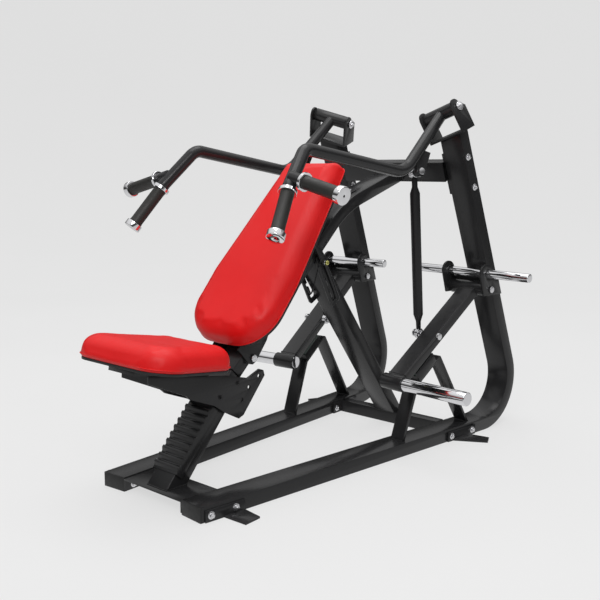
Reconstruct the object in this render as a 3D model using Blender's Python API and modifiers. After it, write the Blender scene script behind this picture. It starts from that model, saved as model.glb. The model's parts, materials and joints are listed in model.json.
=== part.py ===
"""Plate-loaded incline press machine: splayed side frames, adjustable seat and back pad, two press arms."""

import math

import bmesh
import bpy
from mathutils import Matrix, Vector

MM = 0.001
GAP = 0.3

# Side frames: each lies in its own upright plane, splayed outwards to the rear
SPLAY = math.radians(4.93)
FRAME_X = 198.7
RAIL_W, RAIL_H, WALL = 100.0, 50.0, 3.0
LEAN = math.radians(20.85)
CORNER_Y = 1723.9
BEND_R = 179.0
TOP_Y, TOP_Z = 1250.2, 1198.3
TOP_TILT = math.radians(17.0)

# Floor tabs, as (outwards, backwards)
FRONT_TAB = [(51, 86), (150, 98), (138, 165), (51, 170)]
REAR_TAB = [(51, 1242), (168, 1323), (142, 1368), (51, 1345)]

# Weight levers
PIVOT_Y, PIVOT_Z = 1410.5, 600.0
LEVER_ANGLE = math.radians(34.8)
LEVER_LENGTH = 562.3
HORN_END = 340.0

# Press arms, left side in world coordinates
ARM_R = 22.0
ARM_BENDS = [(290, 971, 1065), (268, 451.5, 1144.7), (306, 336, 1026)]
ARM_RADII = [120, 50, 40]
GRIP_A_END = (350, 232.9, 887.7)
GRIP_B_START, GRIP_B_END = (303, 352, 1053), (503, 343.5, 1004.6)
ROD_TOP = (265, 1071, 1061.5)
ROD_FOOT_X, ROD_FOOT_Y, ROD_FOOT_Z = -56, 1153, 435
ROD_HINGE = (1, -0.273, 0.2)

# Seat and back, in the middle plane
POST_ANGLE = math.radians(49.8)
SEAT_TILT = math.radians(8.93)
BACK_ANGLE = math.radians(49.7)
BACK_PIVOT = (408, 428)
STRUT_TOP, STRUT_FOOT = (690, 860), (779, 733)
SLOT_END = (857, 589)

# The origin stands under the middle of the whole machine
MIDDLE_Y = 761.93

X_AXIS, Y_AXIS, Z_AXIS = Vector((1, 0, 0)), Vector((0, 1, 0)), Vector((0, 0, 1))
LEFT, RIGHT = 1, -1


def clear_scene():
    for obj in list(bpy.data.objects):
        bpy.data.objects.remove(obj, do_unlink=True)


def make_collection(name):
    collection = bpy.data.collections.new(name)
    bpy.context.scene.collection.children.link(collection)
    return collection


def make_material(name, color, roughness, metallic):
    material = bpy.data.materials.new(name)
    material.use_nodes = True
    shader = material.node_tree.nodes["Principled BSDF"]
    shader.inputs["Base Color"].default_value = (*color, 1)
    shader.inputs["Roughness"].default_value = roughness
    shader.inputs["Metallic"].default_value = metallic
    material.diffuse_color = (*color, 1)
    return material


clear_scene()
PARTS = make_collection("incline_press_machine")
CUTTERS = make_collection("cutters")
CUTTERS.hide_render = True

FRAME_PAINT = make_material("frame_paint", (0.028, 0.028, 0.03), 0.28, 0.3)
BLACK_PAINT = make_material("black_paint", (0.018, 0.018, 0.019), 0.35, 0.3)
CHROME = make_material("chrome", (0.72, 0.73, 0.75), 0.12, 1.0)
ZINC = make_material("zinc", (0.7, 0.7, 0.7), 0.3, 1.0)
RUBBER = make_material("rubber", (0.03, 0.027, 0.024), 0.7, 0.0)
BUMPER_RUBBER = make_material("bumper_rubber", (0.012, 0.03, 0.02), 0.6, 0.0)
BLACK_PLASTIC = make_material("black_plastic", (0.02, 0.02, 0.02), 0.45, 0.0)
RED_VINYL = make_material("red_vinyl", (0.72, 0.014, 0.016), 0.38, 0.0)
BRASS = make_material("brass", (0.72, 0.5, 0.2), 0.25, 1.0)


def put(obj, name, material, collection=None):
    """Names the object, moves it to its collection and gives it its material."""
    for old in list(obj.users_collection):
        old.objects.unlink(obj)
    (collection or PARTS).objects.link(obj)
    obj.name = name
    obj.data.materials.clear()
    if material:
        material_copy = material.copy()
        material_copy.name = name
        obj.data.materials.append(material_copy)
    return obj


def meshed(curve):
    """The mesh object that a curve object makes, with its caps welded on."""
    graph = bpy.context.evaluated_depsgraph_get()
    mesh = bpy.data.meshes.new_from_object(curve.evaluated_get(graph))
    work = bmesh.new()
    work.from_mesh(mesh)
    bmesh.ops.remove_doubles(work, verts=work.verts, dist=1e-5)
    bmesh.ops.recalc_face_normals(work, faces=work.faces)
    work.to_mesh(mesh)
    work.free()
    obj = bpy.data.objects.new(curve.name, mesh)
    obj.matrix_world = curve.matrix_world.copy()
    bpy.context.scene.collection.objects.link(obj)
    bpy.data.objects.remove(curve, do_unlink=True)
    return obj


def smooth(obj):
    obj.data.shade_smooth()
    obj.data.set_sharp_from_angle(angle=math.radians(35))
    return obj


def placed(origin, u, v):
    """A matrix whose local X, Y run along u, v, at a point given in millimetres."""
    u, v = Vector(u).normalized(), Vector(v).normalized()
    turn = Matrix((u, v, u.cross(v))).transposed().to_4x4()
    return Matrix.Translation(Vector(origin) * MM) @ turn


def prism(outline, low, high, frame, holes=()):
    """A flat outline, in millimetres along frame's u and v, made into a solid from low to high along n."""
    origin, u, v, n = frame
    data = bpy.data.curves.new("outline", "CURVE")
    data.dimensions = "2D"
    data.fill_mode = "BOTH"
    data.extrude = (high - low) / 2 * MM
    for points in (outline, *holes):
        spline = data.splines.new("POLY")
        spline.points.add(len(points) - 1)
        for point, (x, y) in zip(spline.points, points):
            point.co = (x * MM, y * MM, 0, 1)
        spline.use_cyclic_u = True
    obj = bpy.data.objects.new("outline", data)
    bpy.context.scene.collection.objects.link(obj)
    obj.matrix_world = placed(Vector(origin) + Vector(n) * (low + high) / 2, u, v)
    return meshed(obj)


def cylinder(start, end, radius, vertices=20):
    start, end = Vector(start), Vector(end)
    axis = end - start
    bpy.ops.mesh.primitive_cylinder_add(
        vertices=vertices,
        radius=radius * MM,
        depth=axis.length * MM,
        location=(start + end) / 2 * MM,
        rotation=axis.to_track_quat("Z", "Y").to_euler(),
    )
    return smooth(bpy.context.object)


def turned(profile, origin, axis, steps=16):
    """A Screw of the profile, (radius, height) pairs running from the top down, about axis."""
    mesh = bpy.data.meshes.new("profile")
    points = [(r * MM, 0, h * MM) for r, h in profile]
    mesh.from_pydata(points, [(i, i + 1) for i in range(len(points) - 1)], [])
    obj = bpy.data.objects.new("profile", mesh)
    bpy.context.scene.collection.objects.link(obj)
    obj.location = Vector(origin) * MM
    obj.rotation_euler = Vector(axis).to_track_quat("Z", "Y").to_euler()
    screw = obj.modifiers.new("Screw", "SCREW")
    screw.axis = "Z"
    screw.steps = screw.render_steps = steps
    screw.use_merge_vertices = True
    screw.merge_threshold = 1e-5
    screw.use_smooth_shade = True
    return obj


def tube(points, radius, resolution=3):
    data = bpy.data.curves.new("tube", "CURVE")
    data.dimensions = "3D"
    data.bevel_depth = radius * MM
    data.bevel_resolution = resolution
    data.use_fill_caps = True
    spline = data.splines.new("POLY")
    spline.points.add(len(points) - 1)
    for point, place in zip(spline.points, points):
        point.co = (*(Vector(place) * MM), 1)
    obj = bpy.data.objects.new("tube", data)
    bpy.context.scene.collection.objects.link(obj)
    bpy.context.view_layer.update()
    return smooth(meshed(obj))


def combine(obj, tool, operation="DIFFERENCE"):
    """An exact Boolean with the tool, which goes to the cutters."""
    tool.name = "tool"
    for old in list(tool.users_collection):
        old.objects.unlink(tool)
    CUTTERS.objects.link(tool)
    tool.hide_render = True
    tool.display_type = "WIRE"
    step = obj.modifiers.new(operation.title(), "BOOLEAN")
    step.operation = operation
    step.solver = "EXACT"
    step.object = tool
    return obj


def rounded(obj, width, segments=2, angle=40):
    bevel = obj.modifiers.new("Bevel", "BEVEL")
    bevel.width = width * MM
    bevel.segments = segments
    bevel.limit_method = "ANGLE"
    bevel.angle_limit = math.radians(angle)
    return obj


def filleted(points, radii, steps=6):
    """The points of a path whose inner corners are turned into arcs."""
    points = [Vector(p) for p in points]
    path = [points[0]]
    for before, corner, after, radius in zip(points, points[1:], points[2:], radii):
        a, b = (before - corner).normalized(), (after - corner).normalized()
        half = a.angle(b) / 2
        reach = radius / math.tan(half)
        centre = corner + (a + b).normalized() * radius / math.sin(half)
        start, end = corner + a * reach - centre, corner + b * reach - centre
        sweep = start.angle(end)
        for i in range(steps + 1):
            t = i / steps
            arm = start * math.sin((1 - t) * sweep) + end * math.sin(t * sweep)
            path.append(centre + arm / math.sin(sweep))
    return path + [points[-1]]


def strip(path, low, high):
    """The outline of a band along a flat path, from low to high on the left of its direction."""
    path = [Vector(p) for p in path]
    lower, upper = [], []
    for i, point in enumerate(path):
        before = (point - path[i - 1]).normalized() if i else None
        after = (path[i + 1] - point).normalized() if i + 1 < len(path) else None
        before, after = before or after, after or before
        along = (before + after).normalized()
        left = Vector((-along.y, along.x)) / max(along.dot(after), 0.2)
        lower.append(tuple(point + left * low))
        upper.append(tuple(point + left * high))
    return lower + upper[::-1]


def arc(centre, radius, start, end, steps):
    """Points of an arc between two angles in degrees."""
    angles = [math.radians(start + (end - start) * i / steps) for i in range(steps + 1)]
    return [(centre[0] + radius * math.cos(a), centre[1] + radius * math.sin(a)) for a in angles]


def circle(centre, radius, steps=20):
    return arc(centre, radius, 0, 360 * (steps - 1) / steps, steps - 1)


def box(x, y, frame, low, high):
    return prism([(x[0], y[0]), (x[1], y[0]), (x[1], y[1]), (x[0], y[1])], low, high, frame)


# ---- frames of reference -----------------------------------------------------------

MIDDLE = (Vector((0, 0, 0)), Y_AXIS, Z_AXIS, X_AXIS)


def side_axes(side):
    out = Vector((side * math.cos(SPLAY), -math.sin(SPLAY), 0))
    back = Vector((side * math.sin(SPLAY), math.cos(SPLAY), 0))
    return out, back


def on_side(side, point):
    """World place of a point given as (outwards, backwards, up) in a side frame's plane."""
    out, back = side_axes(side)
    x, y, z = point
    return Vector((side * FRAME_X, 0, 0)) + out * x + back * y + Z_AXIS * z


def side_vector(side, vector):
    out, back = side_axes(side)
    return out * vector[0] + back * vector[1] + Z_AXIS * vector[2]


def side_plane(side):
    """Outlines in it are (backwards, up), and its depth runs outwards."""
    out, back = side_axes(side)
    return on_side(side, (0, 0, 0)), back, Z_AXIS, out


UPRIGHT_UP = Vector((0, -math.sin(LEAN), math.cos(LEAN)))
UPRIGHT_FRONT = Vector((0, -math.cos(LEAN), -math.sin(LEAN)))
HOUSING_AXIS = X_AXIS * math.cos(TOP_TILT) + UPRIGHT_UP * math.sin(TOP_TILT)
HOUSING_UP = UPRIGHT_UP * math.cos(TOP_TILT) - X_AXIS * math.sin(TOP_TILT)
AXLE_UP, AXLE_FRONT = 94.0, -16.0


def bracket_point(side, across, front, up):
    """World place of a point in the tilted top bracket."""
    place = Vector((0, TOP_Y, TOP_Z)) + HOUSING_AXIS * across + UPRIGHT_FRONT * front
    return on_side(side, place + HOUSING_UP * up)


def front_face(z):
    """How far back the upright's front face is at this height."""
    return TOP_Y + (TOP_Z - z) * math.tan(LEAN)


def lever_point(along, up):
    """(backwards, up) of a point given along the lever from its pivot and above its centre line."""
    c, s = math.cos(LEVER_ANGLE), math.sin(LEVER_ANGLE)
    return PIVOT_Y - along * c - up * s, PIVOT_Z - along * s + up * c


def mirrored(side, point):
    return Vector((side * point[0], point[1], point[2]))


# ---- fixed frame -------------------------------------------------------------------


def side_frame(side, name):
    """One bent rectangular tube: the floor rail, the bend and the leaning upright."""
    end = Vector((TOP_Y, TOP_Z)) + Vector((UPRIGHT_UP.y, UPRIGHT_UP.z)) * 60
    end -= Vector((UPRIGHT_FRONT.y, UPRIGHT_FRONT.z)) * 25
    def centre_line(start):
        return filleted([(start, 25), (CORNER_Y, 25), end], [BEND_R], steps=12)
    plane = side_plane(side)
    obj = prism(strip(centre_line(3.3), -25, 25), -50, 50, plane)
    rounded(obj, 6, 2, 60)
    inner = prism(strip(centre_line(-10), WALL - 25, 25 - WALL), WALL - 50, 50 - WALL, plane)
    combine(obj, inner)
    origin = bracket_point(side, 0, 0, 0)
    top = box((-160, 160), (-120, 120), (origin, side_vector(side, HOUSING_AXIS),
              side_vector(side, UPRIGHT_FRONT), side_vector(side, HOUSING_UP)), 0, 130)
    combine(obj, top)
    return put(smooth(obj), name, FRAME_PAINT)


def rail_cap(side, name):
    plane = side_plane(side)
    obj = box((0, 3), (0, 50), plane, -50, 50)
    plug = box((2, 22), (WALL + 0.6, 49.4 - WALL), plane, WALL - 49.4, 49.4 - WALL)
    combine(obj, plug, "UNION")
    return put(obj, name, BLACK_PLASTIC)


def foot(side, name, start, end, tab, thick):
    """An angle bracket on the rail's outer side, with a tab that lies on the floor."""
    plane = side_plane(side)
    obj = box((start, end), (0.3, 40), plane, 50 + GAP, 57)
    out, back = side_axes(side)
    tab = prism(tab, 0, thick, (on_side(side, (0, 0, 0)), out, back, Z_AXIS))
    combine(obj, tab, "UNION")
    return put(obj, name, FRAME_PAINT)


def front_cross_plate():
    """A thin deck level with the rail tops, with a bent-down flange at each end."""
    def edge(side, y):
        return on_side(side, (-50 - GAP, y, 0)).xy
    corners = [edge(LEFT, 0), edge(LEFT, 147), edge(RIGHT, 147), edge(RIGHT, 0)]
    level = (Vector((0, 0, 0)), X_AXIS, Y_AXIS, Z_AXIS)
    obj = prism([tuple(c) for c in corners], 41, 47, level)
    for side in (LEFT, RIGHT):
        flange = box((0.2, 146.8), (6, 46.5), side_plane(side), -56.5, -50.6)
        combine(obj, flange, "UNION")
    return put(obj, "front_cross_plate", FRAME_PAINT)


def cross_member(name, outline, inner, plates):
    """A square tube between the side frames, welded to a bolted plate at each end."""
    obj = prism(outline, -plates["reach"], plates["reach"], MIDDLE)
    for side in (LEFT, RIGHT):
        end = prism(plates["outline"], -58.3, -50 - GAP, side_plane(side))
        combine(obj, end, "UNION")
    combine(obj, prism(inner, -400, 400, MIDDLE))
    return put(obj, name, FRAME_PAINT)


def rear_cross_member():
    outline = [(1271, 0), (1321, 0), (1321, 50), (1271, 50)]
    inner = [(1274, 3), (1318, 3), (1318, 47), (1274, 47)]
    y0, y1 = 1215, 1391
    plate = [(y0, 0.3), (y1, 0.3), (y1, 46), (y0, 46)]
    return cross_member("rear_cross_member", outline, inner, {"outline": plate, "reach": 256})


def upper_cross_member():
    up, back = Vector((UPRIGHT_UP.y, UPRIGHT_UP.z)), -Vector((UPRIGHT_FRONT.y, UPRIGHT_FRONT.z))
    low = Vector((1299, 1026))

    def rect(x0, x1, y0, y1):
        return [tuple(low + back * x + up * y) for x, y in ((x0, y0), (x1, y0), (x1, y1), (x0, y1))]
    middle = Vector((front_face(1065) + 25 / math.cos(LEAN), 1065))
    plate = [tuple(middle + back * x + up * y) for x, y in
             ((-25, -84), (25, -84), (25, 84), (-25, 84))]
    return cross_member("upper_cross_member", rect(0, 40, 0, 80.4), rect(3, 37, 3, 77.4),
                        {"outline": plate, "reach": 255})


def straight_post(name, outline, inner):
    obj = rounded(prism(outline, -50, 50, MIDDLE), 5, 2, 60)
    combine(obj, prism(inner, WALL - 50, 50 - WALL, MIDDLE))
    return put(smooth(obj), name, FRAME_PAINT)


def inset(low_front, low_rear, top_rear, top_front):
    """The hollow of a post drawn as four corners, run past both its ends."""
    a, b, c, d = (Vector(p) for p in (low_front, low_rear, top_rear, top_front))
    front, rear = (d - a).normalized(), (c - b).normalized()
    across = Vector((-front.y, front.x))
    if across.dot(b - a) < 0:
        across = -across
    return [tuple(p) for p in (a + across * WALL - front * 40, b - across * WALL - rear * 40,
                               c - across * WALL + rear * 60, d + across * WALL + front * 60)]


def seat_post():
    corners = [(24, 47.3), (111.8, 47.3), (368.8, 351.1), (322.6, 400.2)]
    return straight_post("seat_post", corners, inset(*corners))


def center_post():
    corners = [(1261, 50.3), (1323.3, 50.3), (789.3, 766.4), (753.2, 730.9)]
    return straight_post("center_post", corners, inset(*corners))


def back_spine():
    """The bent tube that carries the back, from the upper cross member down to the seat post."""
    lower_edge = filleted([(1296, 1030.8), (943.3, 911.6), (359, 362)], [440], steps=8)
    obj = rounded(prism(strip(lower_edge, -50, 0), -50, 50, MIDDLE), 5, 2, 60)
    long_edge = filleted([(1325, 1040.6), (943.3, 911.6), (322, 327)], [440], steps=8)
    combine(obj, prism(strip(long_edge, WALL - 50, -WALL), WALL - 50, 50 - WALL, MIDDLE))
    slope = Vector((UPRIGHT_UP.y, UPRIGHT_UP.z))
    back = Vector((-UPRIGHT_FRONT.y, -UPRIGHT_FRONT.z))
    face = Vector((1299, 1026)) - back * GAP
    block = [tuple(face - slope * 60), tuple(face - slope * 60 + back * 80),
             tuple(face + slope * 140 + back * 80), tuple(face + slope * 140)]
    combine(obj, prism(block, -70, 70, MIDDLE))
    hole = cylinder((-80, *BACK_PIVOT), (80, *BACK_PIVOT), 8.4)
    combine(obj, hole)
    return put(smooth(obj), "back_spine", FRAME_PAINT)


def post_point(along, front):
    """(y, z) of a point along the seat post and in front of its front face."""
    c, s = math.cos(POST_ANGLE), math.sin(POST_ANGLE)
    return 24 + along * c - front * s, 47.3 + along * s + front * c


def seat_ratchet():
    """A channel over the post's front, whose teeth hold the seat at each height."""
    teeth, pitch = 9, 26.5
    outline = [post_point(59, -28), post_point(316, -28), post_point(316, 5)]
    for i in reversed(range(teeth)):
        foot_at = 68 + i * pitch
        outline += [post_point(foot_at + 22, 5), post_point(foot_at + 18, 13),
                    post_point(foot_at + 10, 13), post_point(foot_at, 5)]
    outline += [post_point(59, 5)]
    obj = prism(outline, -60, 60, MIDDLE)
    space = [post_point(20, -90), post_point(360, -90), post_point(360, GAP), post_point(20, GAP)]
    combine(obj, prism(space, -50.3, 50.3, MIDDLE))
    return put(obj, "seat_ratchet", FRAME_PAINT)


def upper_bracket(side, name):
    """A U-shaped bracket on the tilted top of the upright, which holds the press arm's axle."""
    origin = bracket_point(side, 0, 0, 0)
    across, front, up = (side_vector(side, v) for v in (HOUSING_AXIS, UPRIGHT_FRONT, HOUSING_UP))
    channel = [(-89, GAP), (89, GAP), (89, 140), (81, 140), (81, 8), (-81, 8), (-81, 140), (-89, 140)]
    obj = prism(channel, -60, 30, (origin, across, up, front))
    ear = [(22, 0), (22, 102), *arc((-3, 106), 22, 15, 165, 6), (-54, 88), (-54, 0)]
    combine(obj, prism(ear, -95, 95, (origin, front, up, across)), "INTERSECT")
    hole = cylinder(bracket_point(side, -100, AXLE_FRONT, AXLE_UP),
                    bracket_point(side, 100, AXLE_FRONT, AXLE_UP), 10.6)
    combine(obj, hole)
    return put(smooth(obj), name, FRAME_PAINT)


def headed_pin(place, axis, shank, half, head, head_length):
    """A pin with a round head at both ends, half being where the heads begin."""
    profile = [(0, half + head_length), (head, half + head_length), (head, half), (shank, half),
               (shank, -half), (head, -half), (head, -half - head_length), (0, -half - head_length)]
    return turned(profile, place, axis)


def lower_bracket(side, name):
    """A U-shaped bracket on the upright's front face, for the weight lever and the storage peg."""
    out, back = side_axes(side)
    origin = on_side(side, (0, front_face(640), 640))
    front, up = side_vector(side, UPRIGHT_FRONT), side_vector(side, UPRIGHT_UP)
    channel = [(-97, GAP), (97, GAP), (97, 140), (89, 140), (89, 8), (-89, 8), (-89, 140), (-97, 140)]
    obj = prism(channel, -120, 120, (origin, out, front, up))
    ear = [(1367, 577), *arc((1379, 666), 38, 180, 10, 10), (1418, 640), (front_face(640), 640),
           (front_face(577), 577)]
    combine(obj, prism(ear, -110, 110, side_plane(side)), "INTERSECT")
    for y, z, radius in ((PIVOT_Y, PIVOT_Z, 10.6), (1389.6, 664.4, 17.9)):
        hole = cylinder(on_side(side, (-120, y, z)), on_side(side, (120, y, z)), radius)
        combine(obj, hole)
    return put(smooth(obj), name, FRAME_PAINT)


def storage_peg(side, name):
    place, out = on_side(side, (43, 1389.6, 664.4)), side_axes(side)[0]
    inner = -296 if side == LEFT else -246
    obj = turned([(0, 246), (15.5, 246), (17.5, 244), (17.5, inner + 2), (15.5, inner), (0, inner)],
                 place, out)
    return put(obj, name, CHROME)


def stop_corner(radius, steps):
    """The bend at the brace's highest point, outer for the large radius and inner for the small one."""
    along, up = (325.5, -68) if radius > 5 else (336, -78.5)
    corners = [lever_point(along + 60, up), lever_point(along, up), (1377 - (along > 330) * 12, 50.3)]
    return [tuple(p) for p in filleted(corners, [radius], steps)[1:-1]]


def stop_brace(side, name):
    """A bent bar on the rail that the weight lever comes to rest over."""
    plane = side_plane(side)
    outline = [(966, 50.3), lever_point(496, -68), *stop_corner(12, 4), (1377, 50.3), (1365, 50.3),
               *reversed(stop_corner(3, 3)), lever_point(485, -78.5), (979, 50.3)]
    obj = prism(outline, -30, 30, plane)

    def block(low, high, x0, x1):
        corners = [lever_point(363, low), lever_point(480, low), lever_point(480, high),
                   lever_point(363, high)]
        return prism(corners, x0, x1, plane)
    combine(obj, block(-72, -41, -29, 33), "UNION")
    combine(obj, block(-72, -24, 32.6, 38), "UNION")
    return put(smooth(obj), name, FRAME_PAINT)


def stop_bumper(side, name):
    corners = [lever_point(363, -40.7), lever_point(480, -40.7), lever_point(480, -20.3),
               lever_point(363, -20.3)]
    obj = rounded(prism(corners, -29, 32, side_plane(side)), 3, 1)
    return put(obj, name, BUMPER_RUBBER)


def adjuster_plate(side, name):
    """A slotted plate on the centre post, with notches for the back's strut."""
    start, end = Vector(STRUT_FOOT), Vector(SLOT_END)
    along = (end - start).normalized()
    across = Vector((-along.y, along.x))
    if across.x < 0:
        across = -across

    def at(s, t):
        return tuple(start + along * s + across * t)
    plate = [at(-30, -20), at(-36, -8), at(-36, 18), at(-26, 26), at(176, 26), at(186, 16),
             at(186, -24), at(176, -30), at(20, -30)]
    slot = [at(-9, -6), at(-9, 6), at(-6, 9), at(162, 9), at(168, 4), at(168, -16), at(152, -18),
            at(152, -9), at(115, -9), at(111, -18), at(99, -18), at(99, -9), at(64, -9),
            at(60, -18), at(48, -18), at(48, -9), at(-6, -9)]
    low, high = (50.3, 58.3) if side == LEFT else (-58.3, -50.3)
    return put(prism(plate, low, high, MIDDLE, [slot]), name, FRAME_PAINT)


# ---- seat and back -----------------------------------------------------------------


def seat_carriage():
    """Two side plates astride the post, a support under the pad, a latch bar and a guide roller."""
    side_plate = [(-49, 443), (-50, 418.5), (103, 350), (120, 335), (222, 295), (271, 261),
                  (333, 228), (355, 236), (460, 359), (454, 378.5), (435, 385.5), (378, 363),
                  (284, 387)]
    holes = [circle(c, 7, 12) for c in ((432, 361.5), (383.5, 330), (347.5, 292.5))]
    obj = prism(side_plate, 62, 70, MIDDLE, holes)
    combine(obj, prism(side_plate, -70, -62, MIDDLE, holes), "UNION")
    c, s = math.cos(SEAT_TILT), math.sin(SEAT_TILT)

    def under_pad(along, down):
        return 206 - along * c - down * s, 425 + along * s - down * c
    support = [under_pad(0, 0.3), under_pad(309, 0.3), under_pad(309, 20), under_pad(252, 24),
               under_pad(0, 24)]
    combine(obj, prism(support, -66, 66, MIDDLE), "UNION")
    combine(obj, cylinder((-66, 217, 316), (66, 217, 316), 7, 16), "UNION")
    combine(obj, cylinder((-66, 349, 292), (66, 349, 292), 12, 20), "UNION")
    return put(smooth(obj), "seat_carriage", FRAME_PAINT)


def inset_corners(corners, distance):
    """A closed polygon's corners after each of its sides has moved inwards by the distance."""
    points = [Vector(c) for c in corners]
    count = len(points)
    lines = []
    for i, start in enumerate(points):
        along = (points[(i + 1) % count] - start).normalized()
        lines.append((start + Vector((-along.y, along.x)) * distance, along))
    moved = []
    for i in range(count):
        (a, u), (b, v) = lines[i - 1], lines[i]
        t = ((b - a).x * v.y - (b - a).y * v.x) / (u.x * v.y - u.y * v.x)
        moved.append(a + u * t)
    return moved


def pad_ring(corners, radii, distance, steps):
    """The pad's outline moved inwards, with as many points at every distance."""
    moved = inset_corners(corners, distance)
    start = (moved[-1] + moved[0]) / 2
    path = filleted([start, *moved, start], [max(r - distance, 4) for r in radii], steps)
    return path[:-1]


def pad(corners, radii, depth, rear_round, front_round, plane, steps=(5, 3, 7)):
    """A closed cushion: flat behind, with a small rounding there and a large one in front."""
    corner_steps, rear_steps, front_steps = steps
    low, high = depth
    levels = []
    for i in range(rear_steps + 1):
        a = math.pi / 2 * i / rear_steps
        levels.append((rear_round * (1 - math.sin(a)), low + rear_round * (1 - math.cos(a))))
    for i in range(front_steps + 1):
        a = math.pi / 2 * i / front_steps
        levels.append((front_round * (1 - math.cos(a)), high - front_round * (1 - math.sin(a))))
    origin, u, v, w = plane
    mesh = bmesh.new()
    rings = []
    for distance, level in levels:
        ring = pad_ring(corners, radii, distance, corner_steps)
        place = [(origin + u * p.x + v * p.y + w * level) * MM for p in ring]
        rings.append([mesh.verts.new(p) for p in place])
    for lower, upper in zip(rings, rings[1:]):
        for i in range(len(lower)):
            j = (i + 1) % len(lower)
            mesh.faces.new((lower[i], lower[j], upper[j], upper[i]))
    mesh.faces.new(list(reversed(rings[0])))
    mesh.faces.new(rings[-1])
    bmesh.ops.recalc_face_normals(mesh, faces=mesh.faces)
    data = bpy.data.meshes.new("pad")
    mesh.to_mesh(data)
    mesh.free()
    return bpy.data.objects.new("pad", data)


def seat_pad():
    c, s = math.cos(SEAT_TILT), math.sin(SEAT_TILT)
    plane = (Vector((0, 206, 425)), X_AXIS, Vector((0, -c, s)), Vector((0, s, c)))
    corners = [(169.6, -22.1), (244.6, 354.7), (-244.6, 354.7), (-169.6, -22.1)]
    obj = pad(corners, [67.9, 90, 90, 67.9], (0.6, 83.5), 13.8, 44.6, plane)
    return put(smooth(obj), "seat_pad", RED_VINYL)


def back_point(along, behind):
    """(y, z) of a point along the back pad's rear plane and behind it."""
    c, s = math.cos(BACK_ANGLE), math.sin(BACK_ANGLE)
    return 433 + along * c + behind * s, 582.3 + along * s - behind * c


def back_pad():
    """A tapered pad with a wide rounded foot."""
    c, s = math.cos(BACK_ANGLE), math.sin(BACK_ANGLE)
    origin = Vector((0, *back_point(0, 0)))
    plane = (origin, X_AXIS, Vector((0, c, s)), Vector((0, -s, c)))
    right = [(193.5, -144.7), (193.7, 120), (129.7, 637.8)]
    corners = [*right, *((-x, y) for x, y in reversed(right))]
    obj = pad(corners, [142.2, 200, 25, 25, 200, 142.2], (0.3, 83.9), 10, 42, plane)
    return put(smooth(obj), "back_pad", RED_VINYL)


def back_bracket():
    """A channel behind the pad: its ribs carry the lower pivot and the strut's pivot."""
    rib = [(-150, GAP), (410, GAP), (410, 26), (398, 30), (60, 30), (-20, 90), (-50, 98), (-134, 101),
           (-152, 94), (-160, 78)]
    rib = [back_point(*p) for p in rib]
    holes = [circle(BACK_PIVOT, 8.4, 16), circle(STRUT_TOP, 6.4, 12)]
    obj = prism(rib, 60, 66, MIDDLE, holes)
    combine(obj, prism(rib, -66, -60, MIDDLE, holes), "UNION")
    web = [back_point(*p) for p in ((-100, GAP + 0.1), (400, GAP + 0.1), (400, 5), (-100, 5))]
    combine(obj, prism(web, -63, 63, MIDDLE), "UNION")
    return put(obj, "back_pad_bracket", BLACK_PAINT)


def back_strut():
    """Two bars hinged on the bracket, whose lower pins sit in the adjuster plates' slots."""
    top, end = Vector(STRUT_TOP), Vector(STRUT_FOOT)
    along = (end - top).normalized()
    angle = math.degrees(math.atan2(along.y, along.x))
    bar = [*arc(top, 12, angle + 90, angle + 270, 6), *arc(end, 12, angle - 90, angle + 90, 6)]
    obj = prism(bar, 66.8, 72.8, MIDDLE)
    combine(obj, prism(bar, -72.8, -66.8, MIDDLE), "UNION")
    combine(obj, cylinder((-78, *top), (78, *top), 6, 16), "UNION")
    for side in (LEFT, RIGHT):
        pin = cylinder((side * 51.5, *end), (side * 70, *end), 5, 16)
        combine(obj, pin, "UNION")
    return put(smooth(obj), "back_strut", BLACK_PAINT)


def adjuster_knob():
    profile = [(0, 15), (7, 15), (9, 13), (9, 2), (7.5, 0), (0, 0)]
    return put(turned(profile, (73.1, *STRUT_FOOT), X_AXIS, 20), "adjuster_knob", BRASS)


def wire_handle():
    path = [(77.2, 752, 750), (77.2, 711, 648), (77.2, 697, 620), (77.2, 655, 669.6)]
    return put(tube(filleted(path, [30, 7], 5), 2.8, 2), "wire_handle", BLACK_PAINT)


# ---- moving linkage ----------------------------------------------------------------


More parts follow.
